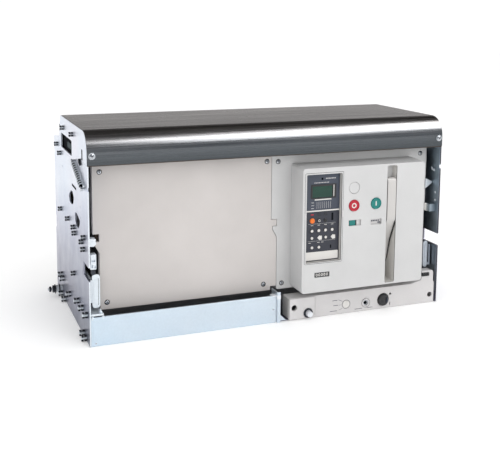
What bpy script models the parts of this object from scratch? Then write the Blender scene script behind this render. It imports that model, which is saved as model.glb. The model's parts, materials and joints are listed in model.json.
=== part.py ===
"""Three-pole drawout air circuit breaker, standing connected in its cradle.

Lengths are metres, X points right as seen from the front, Y to the back and Z up. Every place is given
from the front plane, the front edges of the cradle's side plates. The front plane is an empty that all
pieces hang from, half a cradle depth ahead of the world's origin, which is on the base's underside.
"""
import math

import bmesh
import bpy
from mathutils import Vector

# Driving dimensions
WIDTH = 0.806                   # over the two side plates
HEIGHT = 0.432                  # floor to hood
DEPTH = 0.418                   # side plates, front edge to rear edge
PLATE = 0.003                   # steel plates
SHEET = 0.0017                  # hood and beam sheet
GAP = 0.0003                    # between pieces that touch
HALF = WIDTH / 2
INSIDE = HALF - PLATE           # inner faces of the side plates
POLE_PITCH = 0.230
POLES = (-POLE_PITCH, 0.0, POLE_PITCH)
UPPER_Z = 0.285                 # height of the upper and the lower conductors
LOWER_Z = 0.125
BAR = 0.020                     # conductor thickness
BAR_HALF_WIDTH = 0.090

# Front of the breaker
COVER_Y = 0.036                 # front face of the covers
COVER_DEPTH = 0.016
COVER_TOP = 0.3635
COVER_BOTTOM = 0.062
COVER_WALL = 0.0025
MASK_Y = -0.026                 # front face of the control mask
MASK_LEFT = 0.046
MASK_RIGHT = 0.344
MASK_BOTTOM = 0.066
MASK_TOP = 0.338
MASK_WALL = 0.003
UNIT_Y = -0.016                 # front face of the trip unit
UNIT_LEFT = 0.0560
UNIT_RIGHT = 0.1375
UNIT_BOTTOM = 0.1335
UNIT_SPLIT = 0.2435             # between keypad and display
UNIT_TOP = 0.3235
SLOT_LEFT = 0.248               # charging handle's slot
SLOT_RIGHT = 0.2735
SLOT_BOTTOM = 0.0695
SLOT_TOP = 0.334
BUTTON_RADIUS = 0.0125
BUTTONS = {"reset_button": (0.168, 0.290), "off_button": (0.168, 0.251), "on_button": (0.222, 0.252)}
KEY_Z = 0.200
KEYS = (0.073, 0.089, 0.105, 0.121)
KEY_RADIUS = 0.0045
STATE_WINDOW = (0.156, 0.206, 0.186, 0.219)
CHARGED_WINDOW = (0.210, 0.205, 0.237, 0.217)
COUNTER_WINDOW = (0.076, 0.099, 0.112, 0.110)

# Joint axes
HANDLE_PIVOT = (0.2615, 0.045, 0.098)
MAIN_SHAFT = (0.0, 0.166, 0.170)
CAM_SHAFT = (0.2385, 0.105, 0.130)
CONTACT_PIVOT_Y = 0.208
CONTACT_PIVOT_Z = 0.152
SCREW_X, SCREW_Z = 0.217, 0.019
INDICATOR_X, INDICATOR_Z = 0.168, 0.021
CRANK_X, CRANK_Z = 0.262, 0.021
LOCK_X, LOCK_Z = 0.073, 0.014

# Rails and shutters
RAIL_BOTTOM = 0.084
RAIL_TOP = 0.131
SHUTTER_Y = 0.3165
SHUTTER_HEIGHT = 0.034
SHUTTER_LIFT = 0.066            # how far an open shutter stands from its blades

COLOURS = {                     # base colour, roughness, metallic
    "zinc_plate": ((0.52, 0.53, 0.58), 0.42, 0.9),
    "beam_zinc": ((0.60, 0.67, 0.74), 0.40, 0.85),
    "hood_steel": ((0.17, 0.16, 0.16), 0.35, 0.9),
    "beige_plastic": ((0.66, 0.62, 0.58), 0.50, 0.0),
    "grey_plastic": ((0.70, 0.70, 0.69), 0.48, 0.0),
    "slate_plastic": ((0.07, 0.085, 0.115), 0.45, 0.0),
    "moulded_brown": ((0.10, 0.07, 0.05), 0.6, 0.0),
    "dark_steel": ((0.09, 0.10, 0.12), 0.45, 0.7),
    "copper": ((0.72, 0.43, 0.32), 0.35, 1.0),
    "silvered_copper": ((0.72, 0.73, 0.74), 0.35, 1.0),
    "bright_steel": ((0.68, 0.69, 0.72), 0.3, 1.0),
    "black_plastic": ((0.02, 0.02, 0.022), 0.5, 0.0),
    "red_plastic": ((0.45, 0.012, 0.03), 0.4, 0.0),
    "green_plastic": ((0.01, 0.30, 0.22), 0.4, 0.0),
    "white_plastic": ((0.80, 0.79, 0.76), 0.45, 0.0),
}


def clear_scene():
    for item in list(bpy.data.objects):
        bpy.data.objects.remove(item, do_unlink=True)


def material(name):
    found = bpy.data.materials.get(name)
    if found:
        return found
    colour, roughness, metallic = COLOURS[name]
    made = bpy.data.materials.new(name)
    made.use_nodes = True
    shader = made.node_tree.nodes["Principled BSDF"]
    shader.inputs["Base Color"].default_value = (*colour, 1.0)
    shader.inputs["Roughness"].default_value = roughness
    shader.inputs["Metallic"].default_value = metallic
    return made


# Outlines: lists of 2-D points

def outline(points, arc_steps=4):
    """Points of an outline, where a third value on a point rounds its corner to that radius."""
    result = []
    for index, point in enumerate(points):
        corner = Vector(point[:2])
        if len(point) == 2:
            result.append(corner)
            continue
        before = (Vector(points[index - 1][:2]) - corner).normalized()
        after = (Vector(points[(index + 1) % len(points)][:2]) - corner).normalized()
        half_angle = before.angle(after) / 2
        centre = corner + (before + after).normalized() * (point[2] / math.sin(half_angle))
        start = corner + before * (point[2] / math.tan(half_angle)) - centre
        end = corner + after * (point[2] / math.tan(half_angle)) - centre
        turn = start.angle_signed(end)
        for step in range(arc_steps + 1):
            angle = -turn * step / arc_steps
            spun = Vector((start.x * math.cos(angle) - start.y * math.sin(angle),
                           start.x * math.sin(angle) + start.y * math.cos(angle)))
            result.append(centre + spun)
    return result


def rectangle(left, bottom, right, top, radius=None):
    corners = ((left, bottom), (right, bottom), (right, top), (left, top))
    if radius is None:
        return outline(corners)
    return outline([(*corner, radius) for corner in corners])


def circle(centre, radius, count=20):
    return [Vector((centre[0] + radius * math.cos(2 * math.pi * step / count),
                    centre[1] + radius * math.sin(2 * math.pi * step / count))) for step in range(count)]


# Solids

def in_space(axis, along, first, second):
    """A point at a distance along an axis, with its two other coordinates in X, Y, Z order."""
    if axis == "X":
        return Vector((along, first, second))
    if axis == "Y":
        return Vector((first, along, second))
    return Vector((first, second, along))


def to_object(name, builder, colour, pivot=(0.0, 0.0, 0.0)):
    """One closed solid, with its origin moved to the pivot, hanging from the front plane."""
    bmesh.ops.recalc_face_normals(builder, faces=builder.faces)
    bmesh.ops.translate(builder, verts=builder.verts, vec=-Vector(pivot))
    mesh = bpy.data.meshes.new(name)
    builder.to_mesh(mesh)
    builder.free()
    mesh.materials.append(material(colour))
    mesh.shade_smooth()
    mesh.set_sharp_from_angle(angle=math.radians(35))
    item = bpy.data.objects.new(name, mesh)
    bpy.context.collection.objects.link(item)
    item.parent = bpy.data.objects["front_plane"]
    item.location = pivot
    return item


def slab(name, colour, axis, low, high, outer, holes=(), pivot=(0.0, 0.0, 0.0)):
    """An outline with holes, extruded along an axis from low to high."""
    builder = bmesh.new()
    edges = []
    for loop in (outer, *holes):
        ring = [builder.verts.new(in_space(axis, low, *point)) for point in loop]
        edges += [builder.edges.new((ring[index - 1], ring[index])) for index in range(len(ring))]
    bmesh.ops.triangle_fill(builder, use_beauty=True, use_dissolve=False, edges=edges)
    grown = bmesh.ops.extrude_face_region(builder, geom=builder.faces[:])
    moved = [item for item in grown["geom"] if isinstance(item, bmesh.types.BMVert)]
    bmesh.ops.translate(builder, verts=moved, vec=in_space(axis, high - low, 0.0, 0.0))
    return to_object(name, builder, colour, pivot)


def box(name, colour, low, high, pivot=(0.0, 0.0, 0.0)):
    return slab(name, colour, "Z", low[2], high[2], rectangle(low[0], low[1], high[0], high[1]), pivot=pivot)


def turned(name, colour, axis, centre, profile, count=20, pivot=None):
    """A round piece on an axis through centre, from a profile of (radius, place along the axis)."""
    builder = bmesh.new()
    rings = []
    for radius, along in profile:
        rings.append([builder.verts.new(in_space(axis, along, *point))
                      for point in circle(centre, radius, count)])
    for ring, following in zip(rings, rings[1:]):
        for index in range(count):
            builder.faces.new((ring[index - 1], ring[index], following[index], following[index - 1]))
    builder.faces.new(rings[0])
    builder.faces.new(rings[-1])
    return to_object(name, builder, colour, pivot or in_space(axis, 0.0, *centre))


def coil(name, colour, start, end, coil_radius, wire_radius, turns, steps=10, sides=5):
    """A helical spring from start to end, as one closed tube."""
    axis = (end - start).normalized()
    side = axis.orthogonal().normalized()
    third = axis.cross(side)
    builder = bmesh.new()
    rings = []
    for step in range(turns * steps + 1):
        angle = 2 * math.pi * step / steps
        outward = side * math.cos(angle) + third * math.sin(angle)
        middle = start.lerp(end, step / (turns * steps)) + outward * coil_radius
        rings.append([builder.verts.new(middle + (outward * point.x + axis * point.y))
                      for point in circle((0.0, 0.0), wire_radius, sides)])
    for ring, following in zip(rings, rings[1:]):
        for index in range(sides):
            builder.faces.new((ring[index - 1], ring[index], following[index], following[index - 1]))
    builder.faces.new(rings[0])
    builder.faces.new(rings[-1])
    return to_object(name, builder, colour)


def carve(body, tools, operation="DIFFERENCE"):
    """Cut the tools from a body, or join them to it, and keep only the result."""
    for tool in tools:
        modifier = body.modifiers.new(operation, "BOOLEAN")
        modifier.operation = operation
        modifier.object = tool
    evaluated = body.evaluated_get(bpy.context.evaluated_depsgraph_get())
    result = bpy.data.meshes.new_from_object(evaluated)
    body.modifiers.clear()
    body.data = result
    for tool in tools:
        bpy.data.objects.remove(tool, do_unlink=True)
    return body


def cutter(low, high):
    return box("cutter", "black_plastic", low, high)


def bore(axis, centre, radius, low, high, count=20):
    return turned("bore", "black_plastic", axis, centre, ((radius, low), (radius, high)), count)


# Cradle

def cradle_side(side):
    """Steel side plate with its hook slot and windows; the left one carries the spring's posts."""
    slot_bottom, slot_top, slot_end = 0.135, 0.162, 0.056
    top = HEIGHT - SHEET - GAP
    outer = outline([
        (0.0, 0.0), (DEPTH, 0.0), (DEPTH, 0.147), (0.411, 0.150), (0.411, 0.176), (DEPTH, 0.179),
        (DEPTH, 0.371, 0.006), (0.338, 0.380, 0.010), (0.318, top, 0.006), (0.0, top, 0.041),
        (0.0, slot_top), (slot_end, slot_top, 0.003), (slot_end, slot_bottom, 0.003), (0.0, slot_bottom)])
    holes = [
        rectangle(0.181, 0.354, 0.300, 0.390, 0.004),
        rectangle(0.163, 0.254, 0.222, 0.277, 0.006),
        rectangle(0.091, 0.220, 0.148, 0.242, 0.009)]
    faces = sorted((side * INSIDE, side * HALF))
    plate = slab("cradle_side_left" if side < 0 else "cradle_side_right", "zinc_plate", "X", *faces,
                 outer, holes)
    lip_bottom, lip_top = 0.370, 0.3885
    edge = sorted((side * (INSIDE - 0.022), side * (HALF - 0.0001)))
    parts = [box("lip", "zinc_plate", (edge[0], 0.0, lip_bottom), (edge[1], SHEET, lip_top))]
    if side < 0:
        for post_y, post_z in ((0.142, 0.354), (0.019, 0.319)):
            parts.append(turned("post", "zinc_plate", "X", (post_y, post_z),
                                ((0.003, -HALF - 0.010), (0.003, -INSIDE - 0.001)), 10))
    return carve(plate, parts, "UNION")


def cradle_base():
    """Floor tray with its side edges turned up."""
    flange, wall = 0.022, PLATE
    edge = INSIDE - GAP
    outer = [(-edge, 0.0), (edge, 0.0), (edge, flange), (edge - wall, flange), (edge - wall, wall),
             (-edge + wall, wall), (-edge + wall, flange), (-edge, flange)]
    slab("cradle_base", "zinc_plate", "Y", 0.004, 0.414, outline(outer))


REAR_BOARD_Y = 0.372
REAR_BOARD_THICKNESS = 0.018


def rear_board():
    """Insulating board that holds the six terminals."""
    clearance = 0.0005
    holes = []
    for pole in POLES:
        for level in (UPPER_Z, LOWER_Z):
            reach = BAR_HALF_WIDTH + clearance
            rise = BAR / 2 + clearance
            holes.append(rectangle(pole - reach, level - rise, pole + reach, level + rise))
    slab("rear_board", "moulded_brown", "Y", REAR_BOARD_Y, REAR_BOARD_Y + REAR_BOARD_THICKNESS,
         rectangle(-0.390, 0.026, 0.390, 0.366, 0.006), holes)


def terminals():
    """Copper terminal per pole and level: blade inside, mounting flange and drilled tang outside."""
    blade_tip, tang_end = 0.322, 0.452
    flange_front = REAR_BOARD_Y + REAR_BOARD_THICKNESS + GAP
    for number, pole in enumerate(POLES, 1):
        for level_name, level in (("upper", UPPER_Z), ("lower", LOWER_Z)):
            rise = BAR / 2
            profile = [(blade_tip, level - rise), (flange_front, level - rise),
                       (flange_front, level - 0.030), (flange_front + 0.008, level - 0.030),
                       (flange_front + 0.008, level - rise), (tang_end, level - rise),
                       (tang_end, level + rise), (flange_front + 0.008, level + rise),
                       (flange_front + 0.008, level + 0.030), (flange_front, level + 0.030),
                       (flange_front, level + rise), (blade_tip, level + rise)]
            bar = slab(f"terminal_{level_name}_{number}", "silvered_copper", "X", pole - BAR_HALF_WIDTH,
                       pole + BAR_HALF_WIDTH, outline(profile))
            carve(bar, [bore("Z", (pole + across, 0.428), 0.0065, level - 0.02, level + 0.02, 12)
                        for across in (-0.065, -0.022, 0.022, 0.065)])


def hood():
    """Bent steel hood: flat top, round bend and front skirt."""
    front = -SHEET - GAP
    bend = 0.043
    top = HEIGHT
    skirt_bottom, rear = 0.366, 0.300
    profile = [(rear, top), (front, top, bend), (front, skirt_bottom), (front + SHEET, skirt_bottom),
               (front + SHEET, top - SHEET, bend - SHEET), (rear, top - SHEET)]
    slab("hood", "hood_steel", "X", -HALF, HALF, outline(profile, 8))


def front_beam():
    """Folded zinc beam across the left half, with the divider bracket at its end."""
    low, high, run, lip = PLATE + GAP, 0.060, 0.022, 0.005
    profile = [(0.0, low), (run, low), (run, low + SHEET), (SHEET, low + SHEET),
               (SHEET, high - SHEET), (lip, high - SHEET), (lip, high), (0.0, high)]
    slab("front_beam", "beam_zinc", "X", -INSIDE + 0.0035, -0.002, outline(profile))
    ahead = -0.003
    bracket = [(0.003, ahead), (0.0095, ahead), (0.0095, ahead + SHEET), (0.003 + SHEET, ahead + SHEET),
               (0.003 + SHEET, 0.030), (0.003, 0.030)]
    slab("beam_bracket", "beam_zinc", "Z", low, 0.068, outline(bracket))


FASCIA_LEFT = 0.029
FASCIA_RIGHT = 0.3955
FASCIA_TOP = 0.0495
EAR_LEFT, EAR_RIGHT, EAR_TOP = 0.363, 0.393, 0.077


def racking_fascia():
    """Moulded front of the racking gear, hollow behind, with a raised lock block and a rail ear."""
    low, wall, back, raised = PLATE + GAP, 0.003, 0.018, 0.004
    shape = outline([
        (FASCIA_LEFT, low), (FASCIA_RIGHT, low), (FASCIA_RIGHT, FASCIA_TOP), (EAR_RIGHT, FASCIA_TOP),
        (EAR_RIGHT, EAR_TOP, 0.006), (EAR_LEFT, EAR_TOP, 0.003), (EAR_LEFT, 0.0725), (0.382, 0.0725),
        (0.382, 0.064), (EAR_LEFT, 0.064), (EAR_LEFT, FASCIA_TOP), (FASCIA_LEFT, FASCIA_TOP, 0.003)])
    fascia = slab("racking_fascia", "grey_plastic", "Y", 0.0, back, shape)
    block = box("block", "grey_plastic", (FASCIA_LEFT, -raised, low), (0.090, 0.002, FASCIA_TOP - 0.0005))
    collar = turned("collar", "grey_plastic", "Y", (LOCK_X, LOCK_Z),
                    ((0.0098, -raised + 0.001), (0.0098, -raised - 0.003)))
    carve(fascia, [block, collar], "UNION")
    hollows = [cutter((FASCIA_LEFT + wall, wall, low + wall), (FASCIA_RIGHT - wall, 0.1, FASCIA_TOP - wall)),
               cutter((EAR_LEFT + wall, wall, 0.038), (EAR_RIGHT - wall, 0.1, 0.061)),
               bore("Y", (0.041, 0.028), 0.006, -0.01, 0.01, 16),
               bore("Y", (LOCK_X, LOCK_Z), 0.0069, -0.01, 0.01),
               bore("Y", (INDICATOR_X, INDICATOR_Z), 0.0095, -0.01, 0.01),
               bore("Y", (SCREW_X, SCREW_Z), 0.0085, -0.01, 0.01),
               bore("Y", (CRANK_X, CRANK_Z), 0.0150, -0.01, 0.01, 24),
               bore("Y", (0.385, 0.019), 0.005, -0.01, 0.01, 16)]
    carve(fascia, hollows)


def racking_gear():
    """Racking screw, position dial, stowed crank, position lock and rail release in the fascia."""
    turned("racking_screw", "bright_steel", "Y", (SCREW_X, SCREW_Z),
           ((0.0078, 0.001), (0.0078, 0.006), (0.0055, 0.008), (0.0055, 0.305)), 12)
    dial = turned("position_indicator", "white_plastic", "Y", (INDICATOR_X, INDICATOR_Z),
                  ((0.0088, 0.0), (0.0090, 0.0005), (0.0090, 0.006)), 24)
    pointer = box("pointer", "white_plastic", (INDICATOR_X - 0.0007, -0.001, INDICATOR_Z),
                  (INDICATOR_X + 0.0007, 0.002, INDICATOR_Z + 0.0085))
    carve(dial, [pointer], "UNION")
    turned("crank_handle", "black_plastic", "Y", (CRANK_X, CRANK_Z),
           ((0.0105, -0.006), (0.0135, -0.003), (0.0135, 0.024), (0.006, 0.028), (0.006, 0.170)), 20)
    turned("lock_button", "bright_steel", "Y", (LOCK_X, LOCK_Z),
           ((0.0052, -0.0165), (0.0064, -0.0150), (0.0064, 0.018)), 20)
    box("rail_release", "black_plastic", (EAR_LEFT + 0.0005, -0.002, 0.0645), (0.3815, 0.012, 0.0720))


def rails():
    """Telescopic rails: a floor that carries the breaker's pins, a web and a front tab."""
    inner, outer, tab_y = 0.3772, 0.3960, 0.020
    for side, name, tab_bottom in ((-1, "rail_left", 0.073), (1, "rail_right", 0.079)):
        profile = [(side * inner, RAIL_BOTTOM), (side * outer, RAIL_BOTTOM), (side * outer, RAIL_TOP),
                   (side * (outer - 0.004), RAIL_TOP), (side * (outer - 0.004), RAIL_BOTTOM + 0.005),
                   (side * inner, RAIL_BOTTOM + 0.005)]
        rail = slab(name, "bright_steel", "Y", tab_y + 0.001, 0.312, outline(profile))
        edges = sorted((side * inner, side * (outer - 0.003)))
        tab = slab("tab", "bright_steel", "Y", tab_y, tab_y + 0.003,
                   rectangle(edges[0], tab_bottom, edges[1], 0.142, 0.006))
        carve(rail, [tab], "UNION")


def shutters():
    """Safety shutters, drawn apart to let the jaws reach the blades."""
    for name, level, way in (("shutter_upper", UPPER_Z, 1), ("shutter_lower", LOWER_Z, -1)):
        middle = level + way * SHUTTER_LIFT
        slab(name, "white_plastic", "Y", SHUTTER_Y, SHUTTER_Y + 0.002,
             rectangle(-0.392, middle - SHUTTER_HEIGHT / 2, 0.392, middle + SHUTTER_HEIGHT / 2, 0.004))


def interlock_spring():
    """Tension spring between the two posts on the left plate's outer face."""
    coil("interlock_spring", "bright_steel", Vector((-HALF - 0.0060, 0.1370, 0.3526)),
         Vector((-HALF - 0.0060, 0.0240, 0.3204)), 0.0042, 0.0009, 26, 8, 4)


# Breaker: poles

HOUSING_FRONT, HOUSING_BACK = 0.190, 0.306
HOUSING_BOTTOM, HOUSING_TOP = 0.080, 0.350
HOUSING_HALF = 0.370
CAVITY_HALF = 0.100
CAVITY_FRONT, CAVITY_BACK = 0.196, 0.298


def pole_housing():
    """One moulding with a chamber per pole, open on top for its arc chute."""
    housing = box("pole_housing", "moulded_brown", (-HOUSING_HALF, HOUSING_FRONT, HOUSING_BOTTOM),
                  (HOUSING_HALF, HOUSING_BACK, HOUSING_TOP))
    cuts = []
    for pole in POLES:
        cuts.append(cutter((pole - CAVITY_HALF, CAVITY_FRONT, HOUSING_BOTTOM + 0.008),
                           (pole + CAVITY_HALF, CAVITY_BACK, 0.4)))
        cuts.append(cutter((pole - 0.040, 0.1, 0.140), (pole + 0.040, 0.2, 0.215)))
        for level in (UPPER_Z, LOWER_Z):
            reach = BAR_HALF_WIDTH + GAP
            rise = BAR / 2 + GAP
            cuts.append(cutter((pole - reach, 0.25, level - rise), (pole + reach, 0.35, level + rise)))
    carve(housing, cuts)


def arc_chute(number, pole):
    """Comb of splitter plates under a lid, standing in its chamber's mouth."""
    fins, fin, reach = 8, 0.004, 0.094
    low, root, top = 0.302, 0.348, 0.358
    pitch = 2 * reach / fins
    points = [(pole + reach, root), (pole + reach, top), (pole - reach, top), (pole - reach, root)]
    for index in range(fins):
        left = pole - reach + pitch * (index + 0.5) - fin / 2
        points += [(left, root), (left, low), (left + fin, low), (left + fin, root)]
    slab(f"arc_chute_{number}", "moulded_brown", "Y", CAVITY_FRONT + 0.004, CAVITY_BACK - 0.004,
         outline(points))


def conductor(name, pole, level, front):
    """Copper bar through the housing's back, ending in the jaw that grips the cradle's blade."""
    rise, jaw, slot = BAR / 2, 0.026, BAR / 2 + 0.0005
    jaw_front, slot_front, jaw_back = HOUSING_BACK + 0.0035, 0.3195, 0.345
    profile = [(front, level - rise), (jaw_front, level - rise), (jaw_front, level - jaw),
               (jaw_back, level - jaw), (jaw_back, level - slot), (slot_front, level - slot),
               (slot_front, level + slot), (jaw_back, level + slot), (jaw_back, level + jaw),
               (jaw_front, level + jaw), (jaw_front, level + rise), (front, level + rise)]
    slab(name, "silvered_copper", "X", pole - BAR_HALF_WIDTH, pole + BAR_HALF_WIDTH, outline(profile))


def moving_contact(number, pole):
    """Contact arm, standing open, with a lug towards the main shaft."""
    y, z = CONTACT_PIVOT_Y, CONTACT_PIVOT_Z
    profile = [(y - 0.005, z - 0.010, 0.004), (y + 0.006, z - 0.010, 0.004), (y + 0.005, z + 0.120),
               (y + 0.009, z + 0.124), (y + 0.009, z + 0.144, 0.003), (y - 0.004, z + 0.144, 0.003)]
    arm = slab(f"moving_contact_{number}", "copper", "X", pole - 0.080, pole + 0.080, outline(profile),
               pivot=(pole, y, z))
    lug = box("lug", "copper", (pole - 0.012, y - 0.016, z + 0.016), (pole + 0.012, y, z + 0.034))
    carve(arm, [lug], "UNION")


def main_shaft():
    """Shaft across the three poles, with a crank per pole."""
    y, z = MAIN_SHAFT[1:]
    reach = HOUSING_HALF - 0.004
    shaft = turned("main_shaft", "dark_steel", "X", (y, z), ((0.013, -reach), (0.013, reach)), 16)
    cranks = []
    for pole in POLES:
        shape = outline([(y - 0.010, z + 0.004), (y + 0.004, z - 0.010), (y + 0.019, z + 0.010, 0.004),
                         (y + 0.012, z + 0.021, 0.004)])
        cranks.append(slab("crank", "dark_steel", "X", pole + 0.016, pole + 0.026, shape))
    carve(shaft, cranks, "UNION")


def poles():
    pole_housing()
    main_shaft()
    for number, pole in enumerate(POLES, 1):
        arc_chute(number, pole)
        conductor(f"upper_conductor_{number}", pole, UPPER_Z, 0.238)
        conductor(f"lower_conductor_{number}", pole, LOWER_Z, 0.216)
        moving_contact(number, pole)


# Breaker: frame, covers and mechanism

def breaker_side(side):
    """Side plate of the breaker with the two pins that run on its rail."""
    inner, outer = 0.3715, 0.3740
    faces = sorted((side * inner, side * outer))
    shape = rectangle(0.054, HOUSING_BOTTOM, HOUSING_BACK, 0.357, 0.012)
    plate = slab("breaker_side_left" if side < 0 else "breaker_side_right", "dark_steel", "X", *faces, shape)
    pins = []
    for pin_y in (0.085, 0.265):
        radius = 0.007
        ends = sorted((side * (inner + 0.001), side * 0.3905))
        pins.append(turned("pin", "dark_steel", "X", (pin_y, RAIL_BOTTOM + 0.005 + radius + GAP),
                           ((radius, ends[0]), (radius, ends[1])), 14))
    carve(plate, pins, "UNION")


def shell(item, wall):
    """Hollow a cover out from behind: step the back face in and push it to the front."""
    builder = bmesh.new()
    builder.from_mesh(item.data)
    back = [face for face in builder.faces if face.normal.y > 0.9]
    bmesh.ops.inset_region(builder, faces=back, thickness=wall, use_even_offset=True, use_boundary=True)
    grown = bmesh.ops.extrude_face_region(builder, geom=back)
    moved = [part for part in grown["geom"] if isinstance(part, bmesh.types.BMVert)]
    bmesh.ops.translate(builder, verts=moved, vec=(0.0, wall - COVER_DEPTH, 0.0))
    bmesh.ops.delete(builder, geom=back, context="FACES_ONLY")
    bmesh.ops.recalc_face_normals(builder, faces=builder.faces)
    builder.to_mesh(item.data)
    builder.free()
    return item


NOTCH_BOTTOM, NOTCH_TOP, NOTCH_DEPTH = 0.204, 0.220, 0.013
BULGE_BOTTOM, CHAMFER_END = 0.198, 0.180


def stepped_edge(edge, way):
    """Side edge of a cover, top to bottom: a notch, a short bulge, then a chamfer to a narrower foot."""
    inward = edge + way * NOTCH_DEPTH
    return [(edge, NOTCH_TOP), (inward, NOTCH_TOP), (inward, NOTCH_BOTTOM), (edge + way * 0.003, NOTCH_BOTTOM),
            (edge + way * 0.003, BULGE_BOTTOM), (inward, CHAMFER_END)]


def seam_tab(seam):
    """Right edge of the left cover, bottom to top, which fills the stepped edge beside it."""
    inward, inset = seam + NOTCH_DEPTH, 0.001
    return [(inward, CHAMFER_END - inset / 2), (seam + 0.003, BULGE_BOTTOM - inset / 2),
            (seam + 0.003, NOTCH_BOTTOM + inset), (inward, NOTCH_BOTTOM + inset), (inward, NOTCH_TOP - inset),
            (seam, NOTCH_TOP - inset)]


def covers():
    """The two front covers, each a shell, meeting on a stepped seam left of the control mask."""
    left_edge, right_edge, seam, gap = -0.387, 0.387, 0.0005, 0.001
    foot_left, relief_top = left_edge + NOTCH_DEPTH, 0.0705
    shape = [(left_edge, COVER_TOP, 0.004)] + stepped_edge(left_edge, 1)
    shape += [(foot_left, COVER_BOTTOM, 0.004), (seam - 0.0015, COVER_BOTTOM), (seam - 0.0015, relief_top),
              (seam + NOTCH_DEPTH - gap, relief_top)]
    shape += [(x - gap, z) for x, z in seam_tab(seam)] + [(seam - gap, COVER_TOP)]
    left = slab("left_cover", "beige_plastic", "Y", COVER_Y, COVER_Y + COVER_DEPTH, outline(shape))
    shell(left, COVER_WALL)

    corner_x, corner_z = 0.357, 0.081
    shape = [(seam, COVER_TOP)] + stepped_edge(seam, 1)
    shape += [(seam + NOTCH_DEPTH, COVER_BOTTOM, 0.0035), (corner_x, COVER_BOTTOM), (corner_x, corner_z),
              (right_edge - NOTCH_DEPTH, corner_z)]
    shape += stepped_edge(right_edge, -1)[::-1] + [(right_edge, COVER_TOP, 0.004)]
    right = slab("right_cover", "grey_plastic", "Y", COVER_Y, COVER_Y + COVER_DEPTH, outline(shape))
    shell(right, COVER_WALL)
    border = 0.007
    carve(right, [cutter((MASK_LEFT + border, 0.0, MASK_BOTTOM + border + 0.001),
                         (MASK_RIGHT - border, 0.1, MASK_TOP - border))])


def window(area, radius=None, clearance=0.0):
    left, bottom, right, top = area
    return rectangle(left - clearance, bottom - clearance, right + clearance, top + clearance, radius)


def control_mask():
    """Box that frames the controls, open behind, with a window or a bore for each of them."""
    back = COVER_Y - GAP
    mask = slab("control_mask", "grey_plastic", "Y", MASK_Y, back,
                rectangle(MASK_LEFT, MASK_BOTTOM, MASK_RIGHT, MASK_TOP, 0.006))
    far = 0.1
    openings = [
        slab("cut", "grey_plastic", "Y", -far, far,
             rectangle(UNIT_LEFT - 0.0015, UNIT_BOTTOM - 0.0015, UNIT_RIGHT + 0.001, UNIT_TOP + 0.0015, 0.003)),
        slab("cut", "grey_plastic", "Y", -far, far,
             rectangle(SLOT_LEFT, SLOT_BOTTOM, SLOT_RIGHT, SLOT_TOP, 0.008))]
    for area in (STATE_WINDOW, CHARGED_WINDOW, COUNTER_WINDOW):
        openings.append(slab("cut", "grey_plastic", "Y", -far, far, window(area, 0.0015)))
    for centre in BUTTONS.values():
        openings.append(bore("Y", centre, BUTTON_RADIUS + 0.0006, -far, far, 28))
    hollow = cutter((MASK_LEFT + MASK_WALL, MASK_Y + MASK_WALL, MASK_BOTTOM + MASK_WALL),
                    (MASK_RIGHT - MASK_WALL, far, MASK_TOP - MASK_WALL))
    carve(mask, [hollow] + openings)


def trip_unit():
    """Electronic trip unit: display module above, keypad module below, four sprung keys."""
    unit_back = 0.052
    display = box("trip_unit_display", "slate_plastic", (UNIT_LEFT, UNIT_Y, UNIT_SPLIT + GAP),
                  (UNIT_RIGHT, unit_back, UNIT_TOP))
    screen = cutter((0.0725, -0.1, 0.2720), (0.1200, UNIT_Y + 0.0015, 0.2970))
    carve(display, [screen])
    keypad = box("trip_unit_keypad", "slate_plastic", (UNIT_LEFT, UNIT_Y, UNIT_BOTTOM),
                 (UNIT_RIGHT, unit_back, UNIT_SPLIT))
    wells = [bore("Y", (key_x, KEY_Z), KEY_RADIUS + 0.0005, UNIT_Y - 0.01, UNIT_Y + 0.010, 16)
             for key_x in KEYS]
    carve(keypad, wells)
    for number, key_x in enumerate(KEYS, 1):
        turned(f"key_{number}", "white_plastic", "Y", (key_x, KEY_Z),
               ((KEY_RADIUS - 0.0006, UNIT_Y - 0.0013), (KEY_RADIUS, UNIT_Y - 0.0007),
                (KEY_RADIUS, UNIT_Y + 0.0075)), 16)


def controls():
    """Push buttons, flags and counter, standing in the mask's bores and windows."""
    colours = {"off_button": "red_plastic", "on_button": "green_plastic", "reset_button": "white_plastic"}
    for name, centre in BUTTONS.items():
        turned(name, colours[name], "Y", centre,
               ((BUTTON_RADIUS - 0.0015, MASK_Y - 0.0025), (BUTTON_RADIUS, MASK_Y - 0.0012),
                (BUTTON_RADIUS, -0.008)), 28)
    flag_y, flag_drop = MASK_Y + MASK_WALL + 0.0015, 0.0135
    for name, colour, area in (("state_flag", "green_plastic", STATE_WINDOW),
                               ("charged_flag", "white_plastic", CHARGED_WINDOW)):
        left, bottom, right, top = area
        box(name, colour, (left - 0.002, flag_y, bottom - flag_drop), (right + 0.002, flag_y + 0.0015, top + 0.001))
    left, bottom, right, top = COUNTER_WINDOW
    clearance = 0.0006
    box("operation_counter", "black_plastic", (left + clearance, MASK_Y + 0.001, bottom + clearance),
        (right - clearance, -0.004, top - clearance))


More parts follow.
